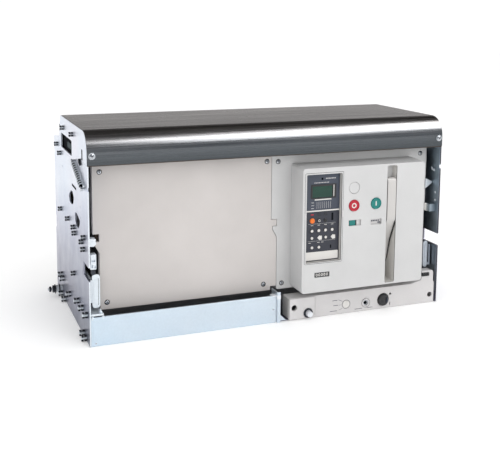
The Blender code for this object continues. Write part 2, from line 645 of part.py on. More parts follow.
def charging_handle():
    """Charging lever: straight grip, then a sweep back into the slot to its deep, low pivot."""
    half_width, front = 0.0102, MASK_Y
    x, y, z = HANDLE_PIVOT
    shape = outline([
        (front, 0.306, 0.007), (front, 0.214, 0.030), (-0.002, 0.160, 0.040), (0.0090, 0.112, 0.012),
        (0.034, 0.084, 0.006), (0.058, 0.084, 0.012), (0.058, 0.112, 0.012),
        (0.034, 0.122, 0.010), (0.016, 0.160, 0.020), (-0.010, 0.216, 0.030), (-0.010, 0.306, 0.006)], 5)
    lever = slab("charging_handle", "white_plastic", "X", x - half_width, x + half_width, shape,
                 pivot=HANDLE_PIVOT)
    trunnion = turned("trunnion", "white_plastic", "X", (y, z), ((0.0055, x - 0.020), (0.0055, x + 0.020)), 12)
    carve(lever, [trunnion], "UNION")


def mechanism():
    """Stored-energy mechanism behind the mask: frame, cam shaft with ratchet, spring and motor."""
    left, right, front, back, wall = 0.142, 0.335, 0.062, 0.148, 0.0025
    frame = [(left, front), (left + wall, front), (left + wall, back - wall), (right - wall, back - wall),
             (right - wall, front), (right, front), (right, back), (left, back)]
    slab("mechanism_frame", "dark_steel", "Z", 0.090, 0.325, outline(frame))
    x, y, z = CAM_SHAFT
    run = (right - left) / 2 - wall - 0.0005
    shaft = turned("cam_shaft", "dark_steel", "X", (y, z), ((0.008, x - run), (0.008, x + run)), 14,
                   pivot=CAM_SHAFT)
    teeth = 20
    wheel = []
    for tooth in range(teeth):
        for radius, lead in ((0.026, 0.0), (0.031, 0.75)):
            angle = 2 * math.pi * (tooth + lead) / teeth
            wheel.append(Vector((y + radius * math.cos(angle), z + radius * math.sin(angle))))
    cam = outline([(y + 0.010, z + 0.012, 0.006), (y - 0.012, z + 0.012, 0.008), (y - 0.016, z - 0.024, 0.008),
                   (y + 0.010, z - 0.012, 0.006)])
    carve(shaft, [slab("wheel", "dark_steel", "X", x + 0.010, x + 0.018, wheel),
                  slab("cam", "dark_steel", "X", x - 0.030, x - 0.018, cam)], "UNION")
    coil("closing_spring", "dark_steel", Vector((0.180, 0.105, 0.175)), Vector((0.180, 0.105, 0.312)),
         0.022, 0.0035, 8, 12, 6)
    turned("charging_motor", "dark_steel", "X", (0.105, 0.270),
           ((0.012, 0.218), (0.026, 0.220), (0.026, 0.306), (0.012, 0.308), (0.012, 0.326)), 20,
           pivot=(0.27, 0.105, 0.270))


def main():
    clear_scene()
    front_plane = bpy.data.objects.new("front_plane", None)
    bpy.context.collection.objects.link(front_plane)
    front_plane.location = (0.0, -DEPTH / 2, 0.0)
    for side in (-1, 1):
        cradle_side(side)
        breaker_side(side)
    cradle_base()
    rear_board()
    terminals()
    hood()
    front_beam()
    racking_fascia()
    racking_gear()
    rails()
    shutters()
    interlock_spring()
    poles()
    covers()
    control_mask()
    trip_unit()
    controls()
    charging_handle()
    mechanism()


main()
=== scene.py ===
"""Looks of the drawout air circuit breaker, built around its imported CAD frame.

Places are metres from the front plane, the front edges of the cradle's side plates: X right as seen from
the front, Y to the back and Z up. in_space() moves them into the frame.
"""
import json
import math

import bmesh
import bpy
from mathutils import Euler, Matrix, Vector


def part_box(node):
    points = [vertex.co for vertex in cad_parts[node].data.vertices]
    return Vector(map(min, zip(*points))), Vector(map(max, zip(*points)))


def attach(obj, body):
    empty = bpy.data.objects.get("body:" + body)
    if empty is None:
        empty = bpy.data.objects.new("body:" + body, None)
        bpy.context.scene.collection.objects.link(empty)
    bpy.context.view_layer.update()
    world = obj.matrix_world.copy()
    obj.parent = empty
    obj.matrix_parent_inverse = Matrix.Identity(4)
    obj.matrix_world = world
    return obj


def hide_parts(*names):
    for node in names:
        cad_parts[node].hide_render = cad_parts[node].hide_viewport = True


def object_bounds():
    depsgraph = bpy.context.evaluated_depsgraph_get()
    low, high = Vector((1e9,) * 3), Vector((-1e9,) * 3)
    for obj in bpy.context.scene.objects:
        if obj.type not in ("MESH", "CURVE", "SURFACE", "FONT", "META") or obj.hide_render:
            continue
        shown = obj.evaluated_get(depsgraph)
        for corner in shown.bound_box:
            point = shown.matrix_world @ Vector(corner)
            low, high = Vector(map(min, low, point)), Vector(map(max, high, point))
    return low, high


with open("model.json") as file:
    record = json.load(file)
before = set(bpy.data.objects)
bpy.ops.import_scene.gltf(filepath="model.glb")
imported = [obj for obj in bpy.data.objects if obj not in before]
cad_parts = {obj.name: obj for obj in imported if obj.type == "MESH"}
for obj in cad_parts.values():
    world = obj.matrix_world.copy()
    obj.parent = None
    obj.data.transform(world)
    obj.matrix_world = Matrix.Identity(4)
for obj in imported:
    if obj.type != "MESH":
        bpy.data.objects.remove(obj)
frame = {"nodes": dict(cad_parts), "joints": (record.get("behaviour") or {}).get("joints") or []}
cad_low, cad_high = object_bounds()

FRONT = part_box("cradle_side_left")[0].y


def span(node):
    """A CAD node's lowest and highest corners, from the front plane."""
    low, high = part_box(node)
    shift = Vector((0.0, FRONT, 0.0))
    return low - shift, high - shift


def middle(node):
    low, high = span(node)
    return (low + high) / 2


PLATE_LEFT = span("cradle_side_left")
PLATE_RIGHT = span("cradle_side_right")
HALF = PLATE_RIGHT[1].x
PLATE = 0.003
INSIDE = HALF - PLATE
DEPTH = PLATE_RIGHT[1].y
HOOD = span("hood")
MASK = span("control_mask")
LEFT_COVER = span("left_cover")
RIGHT_COVER = span("right_cover")
DISPLAY = span("trip_unit_display")
KEYPAD = span("trip_unit_keypad")
FASCIA = span("racking_fascia")
BEAM = span("front_beam")
BRACKET = span("beam_bracket")
COVER_Y = LEFT_COVER[0].y
MASK_Y = MASK[0].y
UNIT_Y = DISPLAY[0].y


# Materials

def start_material(name, roughness, metallic=0.0):
    made = bpy.data.materials.new(name)
    made.use_nodes = True
    shader = made.node_tree.nodes["Principled BSDF"]
    shader.inputs["Roughness"].default_value = roughness
    shader.inputs["Metallic"].default_value = metallic
    return made, made.node_tree, shader


def noise(tree, scale, detail=3.0, stretch=(1.0, 1.0, 1.0)):
    """A noise field over the object, in its own metres, stretched per axis."""
    place = tree.nodes.new("ShaderNodeTexCoord")
    mapping = tree.nodes.new("ShaderNodeMapping")
    mapping.inputs["Scale"].default_value = stretch
    field = tree.nodes.new("ShaderNodeTexNoise")
    field.inputs["Scale"].default_value = scale
    field.inputs["Detail"].default_value = detail
    tree.links.new(place.outputs["Object"], mapping.inputs["Vector"])
    tree.links.new(mapping.outputs["Vector"], field.inputs["Vector"])
    return field.outputs["Fac"]


def ramp(tree, value, stops):
    """Colours along a value, from (place, colour) stops."""
    node = tree.nodes.new("ShaderNodeValToRGB")
    elements = node.color_ramp.elements
    while len(elements) < len(stops):
        elements.new(0.5)
    for element, (place, colour) in zip(elements, stops):
        element.position = place
        element.color = (*colour, 1.0)
    tree.links.new(value, node.inputs["Fac"])
    return node.outputs["Color"]


def map_range(tree, value, start, end, low=0.0, high=1.0):
    node = tree.nodes.new("ShaderNodeMapRange")
    for name, setting in (("From Min", start), ("From Max", end), ("To Min", low), ("To Max", high)):
        node.inputs[name].default_value = setting
    tree.links.new(value, node.inputs["Value"])
    return node.outputs["Result"]


def remap(tree, value, low, high):
    """Spread the middle of a noise field over a range."""
    return map_range(tree, value, 0.3, 0.7, low, high)


def blend_colours(tree, factor, first, second, mode="MIX"):
    node = tree.nodes.new("ShaderNodeMix")
    node.data_type = "RGBA"
    node.blend_type = mode
    if isinstance(factor, float):
        node.inputs["Factor"].default_value = factor
    else:
        tree.links.new(factor, node.inputs["Factor"])
    tree.links.new(first, node.inputs["A"])
    tree.links.new(second, node.inputs["B"])
    return node.outputs["Result"]


def bump(tree, shader, value, strength, distance):
    node = tree.nodes.new("ShaderNodeBump")
    node.inputs["Strength"].default_value = strength
    node.inputs["Distance"].default_value = distance
    tree.links.new(value, node.inputs["Height"])
    tree.links.new(node.outputs["Normal"], shader.inputs["Normal"])


def shade(colour, factor):
    return tuple(min(1.0, part * factor) for part in colour)


def plastic(name, colour, roughness=0.45, grain=0.12, spread=0.05):
    """Moulded plastic: spark-eroded grain, faint mottling and patchy sheen."""
    made, tree, shader = start_material(name, roughness)
    patches = noise(tree, 9.0, 4.0)
    mottled = ramp(tree, patches, ((0.3, shade(colour, 1 - spread)), (0.7, shade(colour, 1 + spread))))
    specks = ramp(tree, noise(tree, 1400.0, 2.0), ((0.25, (0.93, 0.93, 0.93)), (0.6, (1.0, 1.0, 1.0))))
    tree.links.new(blend_colours(tree, 1.0, mottled, specks, "MULTIPLY"), shader.inputs["Base Color"])
    tree.links.new(remap(tree, noise(tree, 30.0, 5.0), roughness - 0.05, roughness + 0.08),
        shader.inputs["Roughness"])
    bump(tree, shader, noise(tree, 1800.0, 2.0), grain, 0.0003)
    return made


def matte(name, colour):
    """Dull dark plastic, mostly standing in for deep shade as painted shade: the same grain as the others,
    with hardly any sheen.
    """
    made = plastic(name, colour, 0.90, 0.06, 0.20)
    shader = made.node_tree.nodes["Principled BSDF"]
    shader.inputs["Specular IOR Level"].default_value = 0.04
    return made


def height_ramp(tree, stops, slope=0.0):
    """Colours over the height, from (metres, colour) stops; a slope raises them towards the back."""
    place = tree.nodes.new("ShaderNodeTexCoord")
    weigh = tree.nodes.new("ShaderNodeVectorMath")
    weigh.operation = "DOT_PRODUCT"
    weigh.inputs[1].default_value = (0.0, 2.0 * slope, 2.0)
    tree.links.new(place.outputs["Object"], weigh.inputs[0])
    return ramp(tree, weigh.outputs["Value"], [(height * 2.0, colour) for height, colour in stops])


def zinc(name, colour, tint, warm, roughness=0.36, painted_shade_heights=None, metallic=0.88, spangle=0.90):
    """Passivated zinc plate: blue and rose drifts over fine spangle; given heights add painted shade and
    reflection, darker towards the foot.
    """
    made, tree, shader = start_material(name, roughness, metallic)
    drift = ramp(tree, noise(tree, 3.2, 5.0), ((0.30, tint), (0.5, colour), (0.72, warm)))
    grains = ramp(tree, noise(tree, 260.0, 5.0),
        ((0.3, (spangle, spangle, spangle)), (0.7, (1.0, 1.0, 1.0))))
    surface = blend_colours(tree, 1.0, drift, grains, "MULTIPLY")
    # Painted shade and reflection: the base colour darkens towards the foot and rises a little towards the
    # back.
    if painted_shade_heights:
        surface = blend_colours(tree, 1.0, surface, height_ramp(tree, painted_shade_heights, 0.20), "MULTIPLY")
    tree.links.new(surface, shader.inputs["Base Color"])
    tree.links.new(remap(tree, noise(tree, 22.0, 6.0), roughness - 0.08, roughness + 0.10),
        shader.inputs["Roughness"])
    bump(tree, shader, noise(tree, 500.0, 4.0), 0.06, 0.0002)
    return made


def hood_steel(name):
    """Dark rolled steel: long brush lines along X, with painted reflection by height: brownish and satin on
    top, bluish on the skirt.
    """
    made, tree, shader = start_material(name, 0.26, 1.0)
    # Painted reflection: the colour runs by height, dark at the skirt's foot, bright towards the bend,
    # brownish on top; the top face is darker and less metallic.
    tone = height_ramp(tree, ((0.366, (0.085, 0.094, 0.102)), (0.386, (0.112, 0.122, 0.132)),
            (0.398, (0.190, 0.200, 0.212)), (0.420, (0.230, 0.222, 0.222)),
            (0.4305, (0.270, 0.250, 0.240)), (0.4317, (0.088, 0.084, 0.085))))
    sheen = height_ramp(tree, ((0.4305, (1.0, 1.0, 1.0)), (0.4317, (0.64, 0.64, 0.64))))
    tree.links.new(sheen, shader.inputs["Metallic"])
    fine = ramp(tree, noise(tree, 1.0, 4.0, (4.0, 900.0, 900.0)),
        ((0.30, (0.84, 0.84, 0.84)), (0.70, (1.14, 1.14, 1.14))))
    broad = ramp(tree, noise(tree, 1.0, 2.0, (1.2, 60.0, 60.0)),
        ((0.3, (0.90, 0.90, 0.90)), (0.7, (1.06, 1.06, 1.06))))
    lined = blend_colours(tree, 1.0, blend_colours(tree, 1.0, tone, fine, "MULTIPLY"), broad, "MULTIPLY")
    tree.links.new(lined, shader.inputs["Base Color"])
    lines = noise(tree, 1.0, 4.0, (4.0, 700.0, 700.0))
    tree.links.new(remap(tree, lines, 0.20, 0.36), shader.inputs["Roughness"])
    bump(tree, shader, lines, 0.12, 0.0002)
    shader.inputs["Specular Tint"].default_value = (0.30, 0.30, 0.30, 1.0)
    return made


def bare_metal(name, colour, roughness=0.28, stain=0.8):
    """Plated or bare metal part: light staining, fine turning lines and uneven gloss."""
    made, tree, shader = start_material(name, roughness, 1.0)
    stained = ramp(tree, noise(tree, 40.0, 6.0), ((0.3, shade(colour, stain)), (0.65, colour)))
    tree.links.new(stained, shader.inputs["Base Color"])
    tree.links.new(remap(tree, noise(tree, 120.0, 4.0), roughness - 0.08, roughness + 0.14),
        shader.inputs["Roughness"])
    bump(tree, shader, noise(tree, 900.0, 3.0), 0.08, 0.0002)
    return made


def moulding_compound(name, colour):
    """Glass-filled moulding compound: dark, speckled and matte."""
    made, tree, shader = start_material(name, 0.6)
    flecks = ramp(tree, noise(tree, 700.0, 6.0), ((0.42, colour), (0.70, shade(colour, 1.9))))
    tree.links.new(flecks, shader.inputs["Base Color"])
    tree.links.new(remap(tree, noise(tree, 60.0, 5.0), 0.52, 0.72), shader.inputs["Roughness"])
    bump(tree, shader, noise(tree, 900.0, 4.0), 0.2, 0.0003)
    return made


def display_film(name, colour):
    """Unlit display under film: darker towards the edges of its cells, with a glossy coat."""
    made, tree, shader = start_material(name, 0.25)
    cells = noise(tree, 1.0, 2.0, (900.0, 1.0, 900.0))
    tone = ramp(tree, cells, ((0.3, shade(colour, 0.75)), (0.7, shade(colour, 1.2))))
    glow = ramp(tree, noise(tree, 26.0, 2.0), ((0.3, (0.8, 0.8, 0.8)), (0.7, (1.0, 1.0, 1.0))))
    tree.links.new(blend_colours(tree, 1.0, tone, glow, "MULTIPLY"), shader.inputs["Base Color"])
    shader.inputs["Specular IOR Level"].default_value = 0.3
    shader.inputs["Coat Weight"].default_value = 0.25
    shader.inputs["Coat Roughness"].default_value = 0.08
    return made


LOOKS = {}


def add_look(maker, name, *values, **options):
    LOOKS[name] = maker(name + "_look", *values, **options)


# zinc_plate's height stops are painted shade and reflection on the side plates: dark at the foot, white from
# 0.30 m up.
add_look(zinc, "zinc_plate", (0.79, 0.83, 0.91), (0.75, 0.82, 0.92), (0.83, 0.79, 0.87), 0.36,
    ((0.0, (0.27, 0.27, 0.31)), (0.03, (0.33, 0.33, 0.38)), (0.06, (0.43, 0.42, 0.46)),
        (0.13, (0.51, 0.50, 0.54)), (0.18, (0.62, 0.61, 0.66)), (0.235, (0.78, 0.78, 0.82)),
        (0.30, (1.0, 1.0, 1.0))))
add_look(zinc, "beam_zinc", (0.66, 0.75, 0.83), (0.63, 0.75, 0.85), (0.71, 0.77, 0.83), 0.42, spangle=0.96)
add_look(zinc, "pale_zinc", (0.78, 0.82, 0.86), (0.74, 0.81, 0.86), (0.80, 0.80, 0.84), 0.34,
    metallic=0.55, spangle=0.93)
add_look(zinc, "blue_zinc", (0.30, 0.37, 0.43), (0.26, 0.34, 0.41), (0.34, 0.38, 0.42), 0.34, spangle=0.88)
add_look(zinc, "mid_zinc", (0.46, 0.52, 0.58), (0.42, 0.50, 0.58), (0.50, 0.53, 0.58), 0.34, spangle=0.92)
add_look(hood_steel, "hood_steel")
add_look(plastic, "beige_plastic", (0.540, 0.510, 0.495))
add_look(plastic, "grey_plastic", (0.548, 0.548, 0.548))
add_look(plastic, "fascia_plastic", (0.575, 0.562, 0.562))
add_look(plastic, "slate_plastic", (0.046, 0.056, 0.080), 0.42, 0.10, 0.08)
add_look(plastic, "deep_slate", (0.026, 0.029, 0.042), 0.42, 0.10, 0.08)
add_look(plastic, "lever_plastic", (0.530, 0.515, 0.500), 0.42, 0.10, 0.05)
add_look(moulding_compound, "moulded_brown", (0.045, 0.030, 0.022))
add_look(bare_metal, "dark_steel", (0.075, 0.080, 0.095), 0.45, 0.7)
add_look(bare_metal, "copper", (0.72, 0.40, 0.28), 0.32, 0.6)
add_look(bare_metal, "silvered_copper", (0.70, 0.69, 0.66), 0.30, 0.72)
add_look(bare_metal, "bright_steel", (0.66, 0.69, 0.73), 0.24, 0.72)
add_look(plastic, "black_plastic", (0.018, 0.018, 0.020), 0.38, 0.08, 0.15)
# matte_black, shade_slate and shade_brown are mostly painted shade: dark sheets and strips where the real
# thing shows shade.
add_look(matte, "matte_black", (0.006, 0.007, 0.009))
add_look(matte, "shade_slate", (0.075, 0.090, 0.095))
add_look(matte, "shade_brown", (0.060, 0.045, 0.036))
add_look(plastic, "red_plastic", (0.42, 0.003, 0.022), 0.32, 0.05, 0.06)
add_look(plastic, "green_plastic", (0.001, 0.190, 0.170), 0.32, 0.05, 0.06)
add_look(plastic, "white_plastic", (0.66, 0.645, 0.62), 0.40, 0.06, 0.04)
add_look(plastic, "orange_plastic", (0.80, 0.17, 0.015), 0.34, 0.05, 0.06)
add_look(display_film, "lcd_screen", (0.004, 0.045, 0.029))


# Outlines: lists of 2-D points

def outline(points, arc_steps=6):
    """Points of an outline, where a third value on a point rounds its corner to that radius."""
    result = []
    for index, point in enumerate(points):
        corner = Vector(point[:2])
        if len(point) == 2:
            result.append(corner)
            continue
        before = (Vector(points[index - 1][:2]) - corner).normalized()
        after = (Vector(points[(index + 1) % len(points)][:2]) - corner).normalized()
        half_angle = before.angle(after) / 2
        centre = corner + (before + after).normalized() * (point[2] / math.sin(half_angle))
        start = corner + before * (point[2] / math.tan(half_angle)) - centre
        end = corner + after * (point[2] / math.tan(half_angle)) - centre
        turn = start.angle_signed(end)
        for step in range(arc_steps + 1):
            angle = -turn * step / arc_steps
            result.append(centre + Vector((start.x * math.cos(angle) - start.y * math.sin(angle),
                        start.x * math.sin(angle) + start.y * math.cos(angle))))
    return result


def rectangle(left, bottom, right, top, radius=None, arc_steps=6):
    corners = ((left, bottom), (right, bottom), (right, top), (left, top))
    if radius is None:
        return outline(corners)
    return outline([(*corner, radius) for corner in corners], arc_steps)


def circle(centre, radius, count=40, start=0.0):
    return [Vector((centre[0] + radius * math.cos(start + 2 * math.pi * step / count),
                    centre[1] + radius * math.sin(start + 2 * math.pi * step / count)))
            for step in range(count)]


# Pieces

def in_space(axis, along, first, second):
    """A point at a distance along an axis, with its two other coordinates in X, Y, Z order."""
    if axis == "X":
        return Vector((along, first + FRONT, second))
    if axis == "Y":
        return Vector((first, along + FRONT, second))
    return Vector((first, second + FRONT, along))


def to_object(name, builder, look, round_over=0.0, segments=2):
    """A smooth-shaded object from a closed mesh, with its sharp edges rounded over."""
    bmesh.ops.recalc_face_normals(builder, faces=builder.faces)
    mesh = bpy.data.meshes.new(name)
    builder.to_mesh(mesh)
    builder.free()
    mesh.materials.append(LOOKS[look])
    mesh.shade_smooth()
    mesh.set_sharp_from_angle(angle=math.radians(32))
    item = bpy.data.objects.new(name, mesh)
    bpy.context.collection.objects.link(item)
    if round_over:
        round_edges(item, round_over, segments)
    return item


def round_edges(item, width, segments=2):
    bevel = item.modifiers.new("rounded_edges", "BEVEL")
    bevel.width = width
    bevel.segments = segments
    bevel.limit_method = "ANGLE"
    bevel.angle_limit = math.radians(35)
    bevel.harden_normals = True


def add_slab(builder, axis, low, high, outer, holes=()):
    """Add an outline with holes, extruded along an axis from low to high, to a mesh."""
    edges = []
    for loop in (outer, *holes):
        ring = [builder.verts.new(in_space(axis, low, *point)) for point in loop]
        edges += [builder.edges.new((ring[index - 1], ring[index])) for index in range(len(ring))]
    filled = bmesh.ops.triangle_fill(builder, use_beauty=True, use_dissolve=False, edges=edges)
    faces = [part for part in filled["geom"] if isinstance(part, bmesh.types.BMFace)]
    grown = bmesh.ops.extrude_face_region(builder, geom=faces)
    moved = [part for part in grown["geom"] if isinstance(part, bmesh.types.BMVert)]
    bmesh.ops.translate(builder, verts=moved,
        vec=in_space(axis, high - low, 0.0, 0.0) - Vector((0, FRONT, 0)))


def slab(name, look, axis, low, high, outer, holes=(), round_over=0.0, segments=2):
    builder = bmesh.new()
    add_slab(builder, axis, low, high, outer, holes)
    return to_object(name, builder, look, round_over, segments)


def box(name, look, low, high, round_over=0.0004):
    return slab(name, look, "Z", low[2], high[2], rectangle(low[0], low[1], high[0], high[1]),
        round_over=round_over)


def plates(name, look, axis, low, high, outlines, round_over=0.0):
    """Several separate flat shapes of one thickness, as one piece."""
    builder = bmesh.new()
    for shape in outlines:
        add_slab(builder, axis, low, high, shape)
    return to_object(name, builder, look, round_over)


def add_turned(builder, axis, centre, profile, count=40):
    rings = [[builder.verts.new(in_space(axis, along, *point)) for point in circle(centre, radius, count)]
             for radius, along in profile]
    for ring, following in zip(rings, rings[1:]):
        for index in range(count):
            builder.faces.new((ring[index - 1], ring[index], following[index], following[index - 1]))
    builder.faces.new(rings[0])
    builder.faces.new(rings[-1])


def turned(name, look, axis, centre, profile, count=40, round_over=0.0, segments=2):
    """A round piece on an axis through centre, from a profile of (radius, place along the axis)."""
    builder = bmesh.new()
    add_turned(builder, axis, centre, profile, count)
    return to_object(name, builder, look, round_over, segments)


def ring(name, look, axis, centre, inner, outer, low, high, round_over=0.0002, count=40):
    return slab(name, look, axis, low, high, circle(centre, outer, count), [circle(centre, inner, count)],
        round_over)


def tube(name, look, path, radius, sides=10):
    """A closed round wire along a path of world points."""
    builder = bmesh.new()
    rings = []
    tangent = (path[1] - path[0]).normalized()
    side = tangent.orthogonal().normalized()
    for index, point in enumerate(path):
        after = path[min(index + 1, len(path) - 1)]
        before = path[max(index - 1, 0)]
        tangent = (after - before).normalized()
        side = (side - tangent * side.dot(tangent)).normalized()
        other = tangent.cross(side)
        rings.append([builder.verts.new(point + side * around.x + other * around.y)
                      for around in circle((0.0, 0.0), radius, sides)])
    for first, second in zip(rings, rings[1:]):
        for index in range(sides):
            builder.faces.new((first[index - 1], first[index], second[index], second[index - 1]))
    builder.faces.new(rings[0])
    builder.faces.new(rings[-1])
    return to_object(name, builder, look)


def carve(body, tools, operation="DIFFERENCE", round_over=0.0, segments=2):
    """Cut the tools from a body, or join them to it, then round its edges over."""
    body.modifiers.clear()
    for tool in tools:
        tool.modifiers.clear()
        modifier = body.modifiers.new(operation, "BOOLEAN")
        modifier.operation = operation
        modifier.object = tool
    evaluated = body.evaluated_get(bpy.context.evaluated_depsgraph_get())
    result = bpy.data.meshes.new_from_object(evaluated)
    body.modifiers.clear()
    body.data = result
    for tool in tools:
        bpy.data.objects.remove(tool, do_unlink=True)
    result.shade_smooth()
    result.set_sharp_from_angle(angle=math.radians(32))
    if round_over:
        round_edges(body, round_over, segments)
    return body


def cutter(low, high):
    return box("cutter", "black_plastic", low, high, 0.0)


def bore(axis, centre, radius, low, high, count=40):
    return turned("bore", "black_plastic", axis, centre, ((radius, low), (radius, high)), count)


def put(item, body, *nodes):
    """Let a piece ride on a body, and stand it for the CAD nodes it replaces."""
    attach(item, body)
    if nodes:
        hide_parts(*nodes)
    return item


def on_cradle(item, *nodes):
    return put(item, "cradle", *nodes)


def on_breaker(item, *nodes):
    return put(item, "breaker", *nodes)


def keep_node(node, look, round_over=0.0):
    """Keep a CAD node's shape and give it its finish, with its edges rounded over."""
    item = frame["nodes"][node]
    item.data.materials.clear()
    item.data.materials.append(LOOKS[look])
    if round_over:
        weld = item.modifiers.new("weld", "WELD")
        weld.merge_threshold = 0.00001
        round_edges(item, round_over)


# Fasteners

def cross_outline(centre, arm, half):
    """A plus sign: arms of a length and half width round a centre."""
    corners = []
    for turn in range(4):
        for along, across in ((arm, -half), (arm, half), (half, half)):
            angle = turn * math.pi / 2
            corners.append((centre[0] + along * math.cos(angle) - across * math.sin(angle),
                    centre[1] + along * math.sin(angle) + across * math.cos(angle)))
    return outline(corners)


def pan_screw(name, body, centre, face, head=0.0052, washer=None, look="bright_steel"):
    """Pan-head screw facing the front, with a cross recess and, where given, a washer under it."""
    low, rise = face, head * 0.5
    dome = [(head, low), (head, low - rise * 0.35), (head * 0.93, low - rise * 0.7),
        (head * 0.72, low - rise * 0.95), (head * 0.45, low - rise * 1.04)]
    screw = turned(name, look, "Y", centre, dome, 28)
    arm, half = head * 0.66, head * 0.15
    cross = [cutter((centre[0] - arm, low - head, centre[1] - half),
            (centre[0] + arm, low - rise * 0.45, centre[1] + half)),
        cutter((centre[0] - half, low - head, centre[1] - arm),
            (centre[0] + half, low - rise * 0.45, centre[1] + arm))]
    carve(screw, cross)
    put(screw, body)
    floor = low - rise * 0.47
    # Painted shade: a dark steel plate at the floor of the cross recess.
    put(slab(name + "_recess", "dark_steel", "Y", floor, floor + 0.0003,
            cross_outline(centre, arm * 0.97, half * 0.95)), body)
    if washer:
        put(ring(name + "_washer", look, "Y", centre, head * 0.6, washer, face + 0.0001, face + 0.0013),
            body)


def hex_bolt(name, body, axis, centre, face, out, size=0.0045, stud=0.004, look="bright_steel"):
    """Washer, hex nut and stud end standing out from a face; out is the way they point, 1 or -1."""
    builder = bmesh.new()
    washer, nut = 0.0012, size * 0.9
    add_turned(builder, axis, centre, ((size * 2.0, face), (size * 2.0, face + out * washer)), 28)
    hexagon = circle(centre, size * 1.62, 6, math.radians(15))
    start, end = face + out * washer, face + out * (washer + nut)
    add_slab(builder, axis, min(start, end), max(start, end), hexagon)
    tip = end + out * stud
    add_turned(builder, axis, centre, ((size, end), (size, tip - out * size * 0.2), (size * 0.8, tip)), 20)
    put(to_object(name, builder, look, 0.0003), body)


def clinch_stud(name, centre, side, core=0.0017, rim=0.0047, reach=0.0085):
    """Stud staked between two dark jaws, each in two steps, standing out from a side plate."""
    face = side * HALF
    builder = bmesh.new()
    for start, end in ((0.0002, 0.46), (0.60, 1.0)):
        low, high = sorted((face + side * reach * start, face + side * reach * end))
        for way in (1, -1):
            edges = sorted((centre[1] + way * core, centre[1] + way * rim))
            jaw = (centre[0] - 0.0036, edges[0], centre[0] + 0.0036, edges[1])
            add_slab(builder, "X", low, high, rectangle(*jaw, (rim - core) * 0.32, 4))
    on_cradle(to_object(name + "_jaws", builder, "dark_steel", 0.0003))
    tip = face + side * (reach + 0.0006)
    on_cradle(turned(name, "pale_zinc", "X", centre,
            ((core * 0.97, face), (core * 0.97, tip - side * 0.0004), (core * 0.7, tip)), 20))


def nut_stack(name, centre, side, reach):
    """Long earth stud with its washers and nuts, standing out from a side plate."""
    builder = bmesh.new()
    face = side * HALF
    add_turned(builder, "X", centre,
        ((0.0030, face), (0.0030, face + side * (reach - 0.001)), (0.0020, face + side * reach)), 20)
    on_cradle(to_object(name, builder, "pale_zinc"))
    parts = ((0.0002, 0.0064, 0.0088, 6, "pale_zinc"), (0.0066, 0.0082, 0.0110, 32, "dark_steel"),
        (0.0090, 0.0150, 0.0088, 6, "pale_zinc"), (0.0165, 0.0180, 0.0112, 32, "dark_steel"),
        (0.0182, 0.0235, 0.0086, 6, "dark_steel"), (0.0262, 0.0310, 0.0066, 6, "dark_steel"))
    for number, (start, end, radius, count, look) in enumerate(parts, 1):
        low, high = sorted((face + side * start, face + side * end))
        on_cradle(slab(f"{name}_nut_{number}", look, "X", low, high,
                circle(centre, radius, count, math.radians(12)), [circle(centre, 0.00302, 20)], 0.0004))


# Cradle

def side_span(side, first, second):
    """Two distances from the middle plane as a low and a high X, on the left (-1) or the right (1)."""
    return sorted((side * first, side * second))


